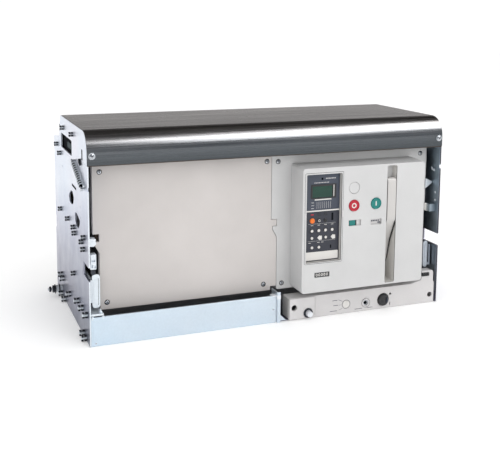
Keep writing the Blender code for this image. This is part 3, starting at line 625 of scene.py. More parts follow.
def side_plates():
    """Zinc-plated side plates with their hook slots, windows, small tab slots, nuts and studs."""
    slot_bottom, slot_top, slot_end = 0.135, 0.162, 0.056
    top = PLATE_LEFT[1].z
    outer = outline([(0.0, 0.0), (DEPTH, 0.0), (DEPTH, 0.147), (0.411, 0.150), (0.411, 0.176),
            (DEPTH, 0.179), (DEPTH, 0.371, 0.006), (0.338, 0.380, 0.010), (0.318, top, 0.006),
            (0.0, top, 0.041), (0.0, 0.3225), (0.0060, 0.3225), (0.0060, 0.3155), (0.0, 0.3155),
            (0.0, slot_top), (slot_end, slot_top, 0.003), (slot_end, slot_bottom, 0.003),
            (0.0, slot_bottom)], 10)
    holes = [rectangle(0.172, 0.3585, 0.312, 0.3915, 0.004),
        outline([(0.219, 0.2675, 0.004), (0.212, 0.2540, 0.004), (0.190, 0.2515, 0.003),
            (0.166, 0.2560, 0.004), (0.1555, 0.2715, 0.005), (0.1720, 0.2825, 0.004),
            (0.190, 0.2815, 0.003)]),
        outline([(0.147, 0.2430, 0.004), (0.144, 0.2260, 0.004), (0.129, 0.2178, 0.003),
            (0.108, 0.2170, 0.004), (0.090, 0.2290, 0.003), (0.087, 0.2375, 0.003), (0.126, 0.2462, 0.004)]),
        circle((0.303, 0.315), 0.0025, 16), circle((0.082, 0.268), 0.0018, 12),
        circle((0.075, 0.247), 0.0015, 12), circle((0.130, 0.2085), 0.0015, 12)]
    studs = ((0.2725, 0.4070), (0.1536, 0.4080), (0.3637, 0.3580), (0.3200, 0.3433), (0.3278, 0.2115),
        (0.2276, 0.2110), (0.1551, 0.2090), (0.1440, 0.1985), (0.0346, 0.2160), (0.0590, 0.2015),
        (0.0420, 0.1900), (0.1648, 0.1050))
    bolts = ((0.3357, 0.0529), (0.3127, 0.0498), (0.2247, 0.0400), (0.3340, 0.0075), (0.2924, 0.0070),
        (0.1190, 0.0588), (0.0683, 0.0597), (0.0220, 0.0598), (0.0605, 0.0095), (0.0367, 0.0068))
    for side, node in ((-1, "cradle_side_left"), (1, "cradle_side_right")):
        faces = side_span(side, INSIDE, HALF)
        on_cradle(slab(node + "_sheet", "zinc_plate", "X", *faces, outer, holes, 0.0005), node)
        for number, centre in enumerate(studs, 1):
            clinch_stud(f"{node}_stud_{number}", centre, side)
        for number, centre in enumerate(bolts, 1):
            clinch_stud(f"{node}_bolt_{number}", centre, side, 0.0032, 0.0058, 0.0105)
        if side < 0:
            nut_stack("earth_stud", (0.340, 0.0175), side, 0.0345)
        edges = side_span(side, INSIDE - 0.022, HALF - 0.004)
        on_cradle(box(node + "_lip", "zinc_plate", (edges[0], 0.0002, 0.370), (edges[1], 0.0019, 0.3885)))
        # Painted shade: a matte black sheet darkens the plate's inside behind the window, and the block seen
        # through it is a dim slate for the shade it sits in.
        faces = side_span(side, INSIDE - 0.0026, INSIDE - 0.0036)
        on_cradle(slab(node + "_window_shade_sheet", "matte_black", "X", *faces,
                rectangle(0.158, 0.340, 0.372, 0.4035, 0.004)))
        faces = side_span(side, INSIDE - 0.0006, INSIDE - 0.0025)
        on_cradle(slab(node + "_window_block", "shade_slate", "X", *faces,
                rectangle(0.178, 0.3675, 0.248, 0.3795, 0.004), round_over=0.0007))
        # Painted shade: the small slot and the diagonal slit are dark strips on the plate's face, not holes.
        faces = side_span(side, HALF - 0.0004, HALF + 0.0002)
        on_cradle(plates(node + "_slit_shadows", "matte_black", "X", *faces,
                [rectangle(0.0455, 0.3695, 0.0555, 0.3910, 0.001),
                    outline([(0.177, 0.2995), (0.175, 0.2945), (0.125, 0.2935), (0.127, 0.2985)])]))
        faces = side_span(side, HALF + 0.0002, HALF + 0.0042)
        on_cradle(slab(node + "_hook", "dark_steel", "X", *faces,
                outline([(0.0790, 0.3665), (0.0760, 0.3620), (0.0660, 0.3600), (0.0600, 0.3570),
                        (0.0600, 0.3600), (0.0650, 0.3640), (0.0690, 0.3700), (0.0720, 0.3690)]),
                round_over=0.0004))
    # Painted light: the plates' front edges are pale zinc on the left, a painted highlight, and dark steel on
    # the right, a painted shade.
    edges = (("right", 1, "dark_steel", ((0.0040, 0.1335), (0.1635, 0.3140), (0.3240, 0.3880))),
        ("left", -1, "pale_zinc", ((0.0005, 0.1340), (0.1630, 0.3145), (0.3235, 0.3880))))
    for name, side, look, runs in edges:
        inner, outer = side_span(side, INSIDE + 0.0002, HALF - 0.0002)
        for number, (start, end) in enumerate(runs, 1):
            on_cradle(box(f"{name}_plate_edge_{number}", look, (inner, -0.0005, start),
                    (outer, 0.0003, end), 0.0002))
    # Painted shade: a darker blue zinc sheet on the right plate's inner face near the front, for the dim
    # reflection there.
    for number, (start, end) in enumerate(((0.0250, 0.1330), (0.1640, 0.3680)), 1):
        shape = rectangle(0.0012, start, 0.088, end, 0.002)
        on_cradle(slab(f"right_plate_painted_shade_{number}", "blue_zinc", "X", INSIDE - 0.0009, INSIDE - 0.0002,
            shape, round_over=0.0002))


def hood():
    """Dark brushed hood with its round bend and front skirt, and its two screws."""
    low, high = HOOD
    sheet, bend = 0.0017, 0.043
    profile = [(high.y, high.z), (low.y, high.z, bend), (low.y, low.z), (low.y + sheet, low.z),
        (low.y + sheet, high.z - sheet, bend - sheet), (high.y, high.z - sheet)]
    on_cradle(slab("hood_sheet", "hood_steel", "X", low.x, high.x, outline(profile, 40),
            round_over=0.0004), "hood")
    # Painted shadow: a dark strip along the skirt's lower edge, for the shade between the hood and the
    # covers.
    on_cradle(box("hood_edge_shadow", "shade_brown", (low.x + 0.001, low.y + 0.0001, low.z - 0.0014),
            (high.x - 0.001, low.y + sheet, low.z + 0.0003), 0.0002))
    for side, name in ((-1, "left"), (1, "right")):
        pan_screw(f"hood_screw_{name}", "cradle", (side * 0.3935, 0.385), low.y - 0.0013, 0.0048, 0.0068)


def beam():
    """Pale zinc front beam, its end bracket and the bracket's gusset."""
    low, high = BEAM
    sheet = 0.0017
    lip = 0.005
    profile = [(0.0, low.z), (high.y, low.z), (high.y, low.z + sheet), (sheet, low.z + sheet),
        (sheet, high.z - sheet), (lip, high.z - sheet), (lip, high.z), (0.0, high.z)]
    on_cradle(slab("front_beam_fold", "beam_zinc", "X", low.x, high.x, outline(profile),
            round_over=0.0007), "front_beam")
    for number, (dot_x, dot_z) in enumerate(((low.x + 0.006, low.z + 0.003), (high.x - 0.006, 0.030)), 1):
        on_cradle(turned(f"beam_rivet_{number}", "bright_steel", "Y", (dot_x, dot_z),
                ((0.0018, 0.0), (0.0018, -0.0005), (0.0010, -0.0010)), 16))
    on_cradle(box("beam_foot", "beam_zinc", (BEAM[0].x, 0.0003, 0.0004), (BEAM[1].x, 0.0034, 0.0036),
            0.0002))
    on_cradle(box("beam_end", "beam_zinc", (-INSIDE + 0.0002, 0.0006, 0.0004),
            (BEAM[0].x + 0.0004, 0.0034, BEAM[1].z - 0.0006), 0.0002))
    low, high = BRACKET
    left, right = low.x - 0.0028, high.x - 0.0018
    on_cradle(box("beam_joint", "pale_zinc", (BEAM[1].x - 0.0010, 0.0018, 0.0004),
            (left + 0.0006, 0.0034, 0.0610), 0.0002))
    fold = outline([(left, low.y), (right, low.y), (right, low.y + sheet), (left + sheet, low.y + sheet),
            (left + sheet, high.y), (left, high.y)])
    on_cradle(slab("beam_bracket_fold", "beam_zinc", "Z", 0.0004, high.z, fold, round_over=0.0005),
        "beam_bracket")
    on_cradle(slab("bracket_gusset", "beam_zinc", "Y", 0.0002, 0.0019,
            outline([(right, low.z), (right + 0.015, low.z), (right + 0.011, low.z + 0.003),
                    (right + 0.001, low.z + 0.013), (right, low.z + 0.013)]), round_over=0.0003))
    tab_top = min(high.z, span("left_cover")[0].z - 0.0006)
    on_cradle(slab("bracket_tab", "pale_zinc", "Z", tab_top - 0.0020, tab_top,
            rectangle(left - 0.0125, low.y + 0.0002, right, 0.012, 0.002), round_over=0.0004))
    on_cradle(box("bracket_tab_lip", "pale_zinc", (left - 0.0015, low.y - 0.0012, tab_top - 0.0085),
            (right + 0.0002, low.y, tab_top)))


def fascia():
    """Racking fascia: raised lock block, seats for dial, screw and crank, ear and printed ticks."""
    low, high = FASCIA
    lock, dial, screw = middle("lock_button"), middle("position_indicator"), middle("racking_screw")
    crank, release = middle("crank_handle"), span("rail_release")
    ear = (release[0].x - 0.0005, 0.393)
    top, block_right, raised = 0.0495, 0.0885, 0.004
    on_cradle(box("fascia_foot", "fascia_plastic", (low.x, 0.0002, 0.0004),
            (high.x, 0.0034, low.z + 0.0006), 0.0002))
    # Painted light: the fascia's left side face wears a sheet of the lever's plastic, a separate copy of the
    # fascia's plastic for how light falls on that face.
    on_cradle(slab("fascia_side", "lever_plastic", "X", low.x - 0.0006, low.x + 0.0004,
            rectangle(0.0012, low.z + 0.0008, 0.0300, top - 0.0012, 0.001)))
    shape = outline([(low.x, low.z), (high.x, low.z), (high.x, top, 0.001), (ear[1], top),
            (ear[1], high.z, 0.006), (ear[0], high.z, 0.003), (ear[0], release[1].z + 0.0005),
            (0.382, release[1].z + 0.0005), (0.382, release[0].z - 0.0005),
            (ear[0], release[0].z - 0.0005), (ear[0] - 0.002, top + 0.006, 0.004),
            (ear[0] - 0.030, top, 0.006), (low.x, top, 0.003)])
    panel = slab("racking_fascia_panel", "fascia_plastic", "Y", 0.0, high.y, shape)
    block = box("block", "fascia_plastic", (low.x, -raised, low.z), (block_right, 0.002, top - 0.0006))
    carve(panel, [block], "UNION")
    cuts = [cutter((low.x + 0.003, 0.003, low.z + 0.003), (high.x - 0.003, 0.1, top - 0.003)),
        bore("Y", (0.0400, 0.0285), 0.0068, -0.01, 0.012),
        bore("Y", lock.xz, 0.0112, -0.01, -raised + 0.0015), bore("Y", lock.xz, 0.0069, -0.01, 0.01),
        bore("Y", dial.xz, 0.0095, -0.01, 0.01), bore("Y", screw.xz, 0.0085, -0.01, 0.01),
        bore("Y", crank.xz, 0.0150, -0.01, 0.01, 56), bore("Y", (0.385, 0.019), 0.0060, -0.01, 0.01),
        bore("Y", (0.2803, 0.0324), 0.0028, -0.01, 0.01, 20),
        cutter((0.2785, -0.01, 0.0060), (0.2808, 0.01, 0.0130)),
        cutter((block_right + 0.0024, -0.01, low.z + 0.002), (block_right + 0.0032, 0.0006, top - 0.004))]
    carve(panel, cuts, round_over=0.0007, segments=3)
    on_cradle(panel, "racking_fascia")
    for name, look, centre, inner, face in (("lock_collar", "dark_steel", lock.xz, 0.0072, -raised),
            ("screw_seat", "fascia_plastic", screw.xz, 0.0068, 0.0)):
        on_cradle(ring(name, look, "Y", centre, inner, 0.0108, face - 0.0016, face + 0.0015, 0.0005))
    # Painted shade: thin dark rings draw the shade in the gaps round the dial and the screw seat.
    on_cradle(ring("dial_shade_ring", "slate_plastic", "Y", dial.xz, 0.0096, 0.0101, -0.0002, 0.0004, 0.0))
    on_cradle(ring("screw_seat_shade_ring", "dark_steel", "Y", screw.xz, 0.0098, 0.0104, -0.0018, -0.0014, 0.0))
    ticks = [rectangle(dial.x - 0.034, dial.z + 0.011, dial.x - 0.022, dial.z + 0.0122),
        outline([(dial.x - 0.019, dial.z + 0.0118), (dial.x - 0.0185, dial.z + 0.0124),
                (dial.x - 0.0095, dial.z + 0.0084), (dial.x - 0.010, dial.z + 0.0078)]),
        rectangle(dial.x - 0.032, dial.z - 0.0005, dial.x - 0.020, dial.z + 0.0007),
        rectangle(dial.x - 0.018, dial.z - 0.0002, dial.x - 0.0115, dial.z + 0.0003),
        rectangle(dial.x - 0.040, dial.z - 0.0130, dial.x - 0.022, dial.z - 0.0118),
        outline([(dial.x - 0.019, dial.z - 0.0126), (dial.x - 0.0185, dial.z - 0.0120),
                (dial.x - 0.010, dial.z - 0.0082), (dial.x - 0.0095, dial.z - 0.0088)]),
        rectangle(screw.x - 0.027, 0.0062, screw.x - 0.008, 0.0073),
        rectangle(screw.x + 0.004, 0.0062, screw.x + 0.018, 0.0073)]
    on_cradle(plates("fascia_ticks", "slate_plastic", "Y", -0.00015, 0.0003, ticks))
    on_cradle(slab("fascia_rear", "fascia_plastic", "Y", high.y - 0.0005, 0.035,
            outline([(low.x, low.z), (low.x + 0.003, low.z), (low.x + 0.003, top - 0.003),
                    (high.x - 0.030, top - 0.003), (high.x - 0.030, top - 0.0002),
                    (low.x, top - 0.0002, 0.003)]), round_over=0.0004))


def racking_gear():
    """Dial, screw socket, stowed crank, lock button and rail release, seen in the fascia."""
    dial = middle("position_indicator")
    disc = turned("position_dial", "white_plastic", "Y", dial.xz,
        ((0.0086, 0.0058), (0.0090, 0.0052), (0.0090, 0.0000), (0.0084, -0.0008), (0.0060, -0.0012),
            (0.0030, -0.0013)), 48)
    pointer = box("pointer", "white_plastic", (dial.x - 0.0007, -0.0022, dial.z + 0.001),
        (dial.x + 0.0007, 0.0, dial.z + 0.0084))
    carve(disc, [pointer], "UNION", 0.0002)
    put(disc, "position_indicator", "position_indicator")
    screw = middle("racking_screw")
    low, high = span("racking_screw")
    shaft = turned("racking_screw_shaft", "bright_steel", "Y", screw.xz,
        ((0.0066, low.y), (0.0078, low.y + 0.0008), (0.0078, 0.006), (0.0055, 0.008), (0.0055, high.y)), 36)
    socket = slab("socket", "bright_steel", "Y", low.y - 0.01, low.y + 0.0045, circle(screw.xz, 0.0048, 6))
    carve(shaft, [socket], round_over=0.0002)
    put(shaft, "racking_screw", "racking_screw")
    # Painted shade: a matte black floor darkens the hex socket.
    put(slab("socket_shade", "matte_black", "Y", low.y + 0.0028, low.y + 0.0047,
            circle(screw.xz, 0.0046, 6)), "racking_screw")
    thread = [in_space("Y", 0.040 + 0.240 * step / 960, screw.x + 0.0056 * math.cos(step * math.pi / 8),
            screw.z + 0.0056 * math.sin(step * math.pi / 8)) for step in range(961)]
    put(tube("racking_screw_thread", "bright_steel", thread, 0.0006, 5), "racking_screw")
    crank = middle("crank_handle")
    low, high = span("crank_handle")
    knob = turned("crank_grip", "black_plastic", "Y", crank.xz,
        ((0.0095, low.y), (0.0122, low.y + 0.0006), (0.0135, low.y + 0.0024), (0.0135, 0.024),
            (0.006, 0.028), (0.006, high.y)), 56)
    cuts = [slab("facet", "black_plastic", "Z", crank.z - 0.02, crank.z + 0.02,
            outline([(crank.x + 0.001, low.y - 0.002), (crank.x + 0.016, low.y - 0.002),
                    (crank.x + 0.016, low.y + 0.0048), (crank.x + 0.0045, low.y + 0.0020)]))]
    cuts.append(cutter((crank.x - 0.0050, low.y - 0.01, crank.z - 0.0036),
            (crank.x - 0.0036, low.y + 0.001, crank.z + 0.0008)))
    carve(knob, cuts, round_over=0.0005, segments=2)
    put(knob, "crank_handle", "crank_handle")
    # Painted highlight: the right facet of the black grip is a lighter slate plate, for the light it catches.
    facet_highlight = [point for point in circle(crank.xz, 0.0088, 40) if point.x > crank.x + 0.0052]
    put(plates("crank_facet_highlight", "slate_plastic", "Y", low.y - 0.0002, low.y + 0.0030,
            [sorted(facet_highlight, key=lambda point: point.y)]), "crank_handle")
    lock = middle("lock_button")
    low, high = span("lock_button")
    button = turned("lock_plunger", "bright_steel", "Y", lock.xz,
        ((0.0046, low.y), (0.0058, low.y + 0.0004), (0.0064, low.y + 0.0014), (0.0064, -0.0090),
            (0.0061, -0.0086), (0.0061, -0.0080), (0.0064, -0.0076), (0.0064, high.y)), 44)
    put(button, "lock_button", "lock_button")
    button.data.materials[0] = LOOKS["pale_zinc"]
    low, high = span("rail_release")
    catch = box("release_catch", "black_plastic", low, high, 0.0)
    groove = [cutter((low.x - 0.001, low.y - 0.001, low.z + step),
            (high.x + 0.001, low.y + 0.0008, low.z + step + 0.0007)) for step in (0.0017, 0.0035, 0.0053)]
    carve(catch, groove, round_over=0.0004)
    put(catch, "rail_release", "rail_release")


def rails():
    """Rails with their rounded front tabs, the clips above them and the lugs in the covers' notches."""
    # Painted light: the left rail is pale zinc and the right one a darker copy, for the light on each side.
    for side, node, look in ((-1, "rail_left", "pale_zinc"), (1, "rail_right", "mid_zinc")):
        low, high = span(node)
        inner, outer = side * 0.3772, side * 0.3960
        bottom, top = 0.084, 0.131
        profile = [(inner, bottom), (outer, bottom), (outer, top), (outer - side * 0.004, top),
            (outer - side * 0.004, bottom + 0.005), (inner, bottom + 0.005)]
        rail = slab(node + "_bar", look, "Y", low.y + 0.001, high.y, outline(profile))
        edges = sorted((inner, outer - side * (0.003 if side < 0 else 0.0080)))
        tab = slab("tab", look, "Y", low.y, low.y + 0.003,
            rectangle(edges[0], low.z, edges[1], high.z, 0.006, 8))
        carve(rail, [tab], "UNION", 0.0006, 3)
        put(rail, node, node)
        put(slab(node + "_rib", look, "Y", low.y - 0.0009, low.y + 0.0002,
                rectangle(edges[0] + 0.0032, low.z + 0.008, edges[1] - 0.0032, high.z - 0.010, 0.003),
                round_over=0.0004), node)
    put(box("rail_tab_seam", "dark_steel", (-0.3810, span("rail_left")[0].y - 0.0012, 0.0790),
            (-0.3804, span("rail_left")[0].y, 0.1340), 0.0), "rail_left")
    clip = box("rail_clip", "pale_zinc", (-0.3965, 0.014, 0.1545), (-0.3850, 0.030, 0.1850), 0.0)
    carve(clip, [cutter((-0.3945, 0.0, 0.1700), (-0.3875, 0.018, 0.1745)),
            cutter((-0.3885, 0.0, 0.1565), (-0.3862, 0.018, 0.1620)),
            cutter((-0.3948, 0.0, 0.1580), (-0.3918, 0.018, 0.1640))], round_over=0.0006)
    on_cradle(clip)
    on_cradle(turned("rail_clip_stem", "dark_steel", "Z", (-0.3900, 0.022),
            ((0.0045, 0.1425), (0.0045, 0.1545)), 24, 0.0006))
    shape = outline([(-0.3995, 0.2005), (-0.3880, 0.2000, 0.002), (-0.3835, 0.2050, 0.002),
            (-0.3850, 0.2100, 0.002), (-0.3835, 0.2150, 0.002), (-0.3995, 0.2165)])
    on_cradle(slab("notch_lug_left", "pale_zinc", "Y", 0.018, 0.034, shape, round_over=0.0008))
    # Painted shade: a dark brown plate behind the left cover's notch.
    on_breaker(slab("notch_shade_left", "shade_brown", "Y", COVER_Y + 0.0100, COVER_Y + 0.0115,
            rectangle(-0.3820, 0.1990, -0.3715, 0.2240)))
    on_cradle(box("latch_bar_right", "blue_zinc", (0.3845, 0.0120, 0.2125), (0.3995, 0.0300, 0.2300),
            0.0008))
    on_cradle(slab("latch_tongue_right", "silvered_copper", "Y", 0.0195, 0.0250,
            outline([(0.3760, 0.2150), (0.3845, 0.2125), (0.3845, 0.2280), (0.3800, 0.2320, 0.002),
                    (0.3760, 0.2310)]), round_over=0.0006))
    for number, (centre, radius) in enumerate((((0.012, 0.2570), 0.0026), ((0.012, 0.2390), 0.0026),
            ((0.020, 0.3080), 0.0030)), 1):
        on_cradle(turned(f"guide_rivet_{number}", "pale_zinc", "X", centre,
                ((radius, INSIDE - 0.0008), (radius, INSIDE - 0.0022), (radius * 0.6, INSIDE - 0.0030)),
                20, 0.0003))
    shape = outline([(0.3815, 0.2645), (0.3985, 0.2765, 0.002), (0.3985, 0.2800, 0.002), (0.3815, 0.2880)])
    on_cradle(slab("guide_bracket", "pale_zinc", "Y", 0.027, 0.030, shape, round_over=0.0005))
    hooked = outline([(0.3925, 0.3150), (0.3945, 0.3080, 0.002), (0.3985, 0.3070), (0.3985, 0.3090),
            (0.3955, 0.3100, 0.001), (0.3940, 0.3160)])
    on_cradle(slab("guide_hook", "pale_zinc", "Y", 0.020, 0.023, hooked, round_over=0.0004))
    on_cradle(box("rail_shelf", "pale_zinc", (-0.3995, 0.0045, 0.0630), (-0.3740, 0.060, 0.0652)))
    on_cradle(box("rail_shelf_lip", "pale_zinc", (-0.3995, 0.0020, 0.0622), (-0.3740, 0.0044, 0.0662)))
    hex_bolt("rail_shelf_bolt", "cradle", "Z", (-0.3790, 0.012), 0.0653, 1, 0.0024, 0.003, "pale_zinc")
    for number, place in enumerate((-0.3965, -0.3755), 1):
        on_cradle(turned(f"rail_shelf_pin_{number}", "pale_zinc", "Z", (place, 0.0025),
                ((0.0026, 0.0545), (0.0026, min(0.0660, span("left_cover")[0].z - 0.0006))), 20, 0.0005))


def interlock_spring():
    """Tension spring on the left plate: close coil, two hooks and the posts they hang on."""
    centre_x, coil_radius, wire = -HALF - 0.0060, 0.0046, 0.0013
    upper, lower = Vector((0.128, 0.3560)), Vector((0.024, 0.3170))
    along = (lower - upper).normalized()
    across = Vector((-along.y, along.x))
    start, end = upper + along * 0.009, lower - along * 0.009
    turns, steps = 11, 16

    def hook(centre):
        bends = [math.pi * step / 8 for step in range(9)]
        points = [centre + (across * math.sin(bend) - along * math.cos(bend)) * 0.0042 for bend in bends]
        return [in_space("X", centre_x, point.x, point.y) for point in points]

    path = hook(upper)
    for step in range(turns * steps + 1):
        angle = 2 * math.pi * step / steps
        centre = start.lerp(end, step / (turns * steps))
        point = centre + across * (coil_radius * math.cos(angle))
        path.append(in_space("X", centre_x + coil_radius * math.sin(angle), point.x, point.y))
    path += hook(lower)
    on_cradle(tube("interlock_spring_coil", "pale_zinc", path, wire, 8), "interlock_spring")
    # Painted shade: a matte black core inside the coil darkens the gaps between its turns.
    on_cradle(tube("interlock_spring_shade_core", "matte_black",
            [in_space("X", centre_x, *start), in_space("X", centre_x, *end)], 0.0033, 16))
    for name, place in (("upper", upper), ("lower", lower)):
        on_cradle(turned(f"spring_post_{name}", "bright_steel", "X", place,
                ((0.0030, -HALF), (0.0030, -HALF - 0.0072), (0.0044, -HALF - 0.0074),
                    (0.0044, -HALF - 0.0092), (0.0036, -HALF - 0.0098)), 24))


def rear():
    """Rear board with its phase barriers, terminals with their flange screws, and the shutters."""
    keep_node("rear_board", "moulded_brown", 0.0008)
    keep_node("cradle_base", "zinc_plate", 0.0006)
    board = span("rear_board")
    for number, place in enumerate((-0.345, -0.115, 0.115, 0.345), 1):
        shape = outline([(board[1].y + 0.0003, board[0].z + 0.006), (0.440, board[0].z + 0.006, 0.010),
                (0.440, board[1].z - 0.004, 0.016), (board[1].y + 0.0003, board[1].z - 0.004)])
        on_cradle(slab(f"phase_barrier_{number}", "moulded_brown", "X", place - 0.0025, place + 0.0025,
                shape, round_over=0.0009))
    for level in ("upper", "lower"):
        for pole in (1, 2, 3):
            node = f"terminal_{level}_{pole}"
            keep_node(node, "silvered_copper", 0.0008)
            low, high = span(node)
            height = (low.z + high.z) / 2
            for side in (-1, 1):
                for rise in (-0.020, 0.020):
                    centre = ((low.x + high.x) / 2 + side * 0.072, height + rise)
                    hex_bolt(f"{node}_screw_{'l' if side < 0 else 'r'}{'a' if rise < 0 else 'b'}",
                        "cradle", "Y", centre, 0.3985, 1, 0.0036, 0.003)
    for node in ("shutter_upper", "shutter_lower"):
        keep_node(node, "white_plastic", 0.0005)


# Breaker

NOTCH_BOTTOM, NOTCH_TOP, NOTCH_DEPTH = 0.204, 0.220, 0.013
BULGE_BOTTOM, CHAMFER_END = 0.198, 0.180


def stepped_edge(edge, way):
    """Side edge of a cover, top to bottom: a notch, a short bulge, then a chamfer to a narrower foot."""
    inward = edge + way * NOTCH_DEPTH
    return [(edge, NOTCH_TOP), (inward, NOTCH_TOP), (inward, NOTCH_BOTTOM),
        (edge + way * 0.003, NOTCH_BOTTOM), (edge + way * 0.003, BULGE_BOTTOM), (inward, CHAMFER_END)]


def seam_tab(seam):
    """Right edge of the left cover, bottom to top, which fills the stepped edge beside it."""
    inward, inset = seam + NOTCH_DEPTH, 0.001
    return [(inward, CHAMFER_END - inset / 2), (seam + 0.003, BULGE_BOTTOM - inset / 2),
        (seam + 0.003, NOTCH_BOTTOM + inset), (inward, NOTCH_BOTTOM + inset), (inward, NOTCH_TOP - inset),
        (seam, NOTCH_TOP - inset)]


def covers():
    """The two textured front covers with their counterbored screws."""
    wall, depth, radius = 0.0025, 0.016, 0.0035
    low, high = LEFT_COVER
    shape = [(low.x, high.z, radius)] + stepped_edge(low.x, 1)
    right_low, right_high = RIGHT_COVER
    seam, gap, relief_top = right_low.x, 0.001, 0.0705
    shape += [(low.x + NOTCH_DEPTH, low.z, radius), (seam - 0.0015, low.z), (seam - 0.0015, relief_top),
        (seam + NOTCH_DEPTH - gap, relief_top)]
    shape += [(x - gap, z) for x, z in seam_tab(seam)] + [(seam - gap, high.z)]
    left_screws = ((-0.372, 0.3465), (-0.011, 0.3475), (-0.017, 0.0765), (-0.360, 0.0765))
    corner_x, corner_z = 0.357, 0.081
    other = [(right_low.x, right_high.z)] + stepped_edge(right_low.x, 1)
    other += [(right_low.x + NOTCH_DEPTH, right_low.z, radius), (corner_x, right_low.z),
        (corner_x, corner_z), (right_high.x - NOTCH_DEPTH, corner_z)]
    other += stepped_edge(right_high.x, -1)[::-1] + [(right_high.x, right_high.z, radius)]
    right_screws = ((0.0150, 0.3460), (0.3700, 0.3460), (0.0260, 0.0750))
    for node, look, points, screws in (("left_cover", "beige_plastic", shape, left_screws),
        ("right_cover", "grey_plastic", other, right_screws)):
        panel = slab(node + "_shell", look, "Y", COVER_Y, COVER_Y + depth, outline(points, 8))
        inner = slab("inner", look, "Y", COVER_Y + wall, COVER_Y + depth + 0.01, outline(points, 8))
        shrink(inner, wall)
        cuts = [inner]
        for centre in screws:
            cuts.append(bore("Y", centre, 0.0056, COVER_Y - 0.01, COVER_Y + 0.0012, 32))
        if node == "right_cover":
            border = 0.007
            cuts.append(cutter((MASK[0].x + border, 0.0, MASK[0].z + border + 0.001),
                    (MASK[1].x - border, 0.1, MASK[1].z - border)))
        carve(panel, cuts, round_over=0.0011, segments=3)
        on_breaker(panel, node)
        for number, centre in enumerate(screws, 1):
            pan_screw(f"{node}_screw_{number}", "breaker", centre, COVER_Y + 0.0011, 0.0042)
            on_breaker(ring(f"{node}_screw_seat_{number}", "black_plastic", "Y", centre, 0.0043, 0.0055,
                    COVER_Y + 0.0001, COVER_Y + 0.0011, 0.0, 32))


def cover_seam_shade():
    """Painted shade in the joint between the two covers: a dark line that follows the stepped edge."""
    seam, half_gap = RIGHT_COVER[0].x, 0.0005
    outer, inward, bulge = seam - half_gap, seam + NOTCH_DEPTH - half_gap, seam + 0.003 - half_gap
    route = ((outer, LEFT_COVER[1].z - 0.001), (outer, NOTCH_TOP - half_gap),
        (inward, NOTCH_TOP - half_gap), (inward, NOTCH_BOTTOM + half_gap),
        (bulge, NOTCH_BOTTOM + half_gap), (bulge, BULGE_BOTTOM), (inward, CHAMFER_END), (inward, 0.0720))
    on_breaker(tube("cover_seam_shade", "shade_brown", [Vector((x, COVER_Y + 0.0004, z)) for x, z in route],
            0.0007, 12))


def shrink(item, amount):
    """Pull a slab's outline in by an even amount, keeping its thickness."""
    mesh = item.data
    loops = bmesh.new()
    loops.from_mesh(mesh)
    loops.verts.ensure_lookup_table()
    moves = {}
    for vert in loops.verts:
        walls = [face.normal for face in vert.link_faces if abs(face.normal.y) < 0.5]
        normals = {tuple(round(part, 3) for part in normal) for normal in walls}
        if not normals:
            continue
        total = sum((Vector(normal) for normal in normals), Vector())
        unit = total.normalized()
        reach = amount / max(0.3, unit.dot(Vector(next(iter(normals)))))
        moves[vert.index] = unit * -reach
    for index, move in moves.items():
        loops.verts[index].co += move
    loops.to_mesh(mesh)
    loops.free()


UNIT_CLEARANCE = 0.0010
SLOT_CLEARANCE = 0.0030


def unit_window():
    """The mask's opening for the trip unit, a little larger than the unit: left, bottom, right, top."""
    return (KEYPAD[0].x - UNIT_CLEARANCE, KEYPAD[0].z - UNIT_CLEARANCE, DISPLAY[1].x + 0.001,
        DISPLAY[1].z + UNIT_CLEARANCE)


def unit_groove(inset):
    """The thin groove that frames the trip unit, shrunk by an inset."""
    left, bottom, right, top = unit_window()
    return rectangle(left - 0.0040 + inset, bottom - 0.0028 + inset, right + 0.0034 - inset,
        top + 0.0036 - inset, 0.0026 - inset)


def handle_slot():
    low, high = span("charging_handle")
    centre = (low.x + high.x) / 2
    half = 0.0102 + SLOT_CLEARANCE - 0.0005
    return centre - half, MASK[0].z + 0.0035, centre + half - 0.001, MASK[1].z - 0.004


def flag_window(node, width):
    """A window that shows the top of a flag at rest: left, bottom, right, top."""
    low, high = span(node)
    return low.x + 0.002, high.z - 0.001 - width, high.x - 0.002, high.z - 0.001


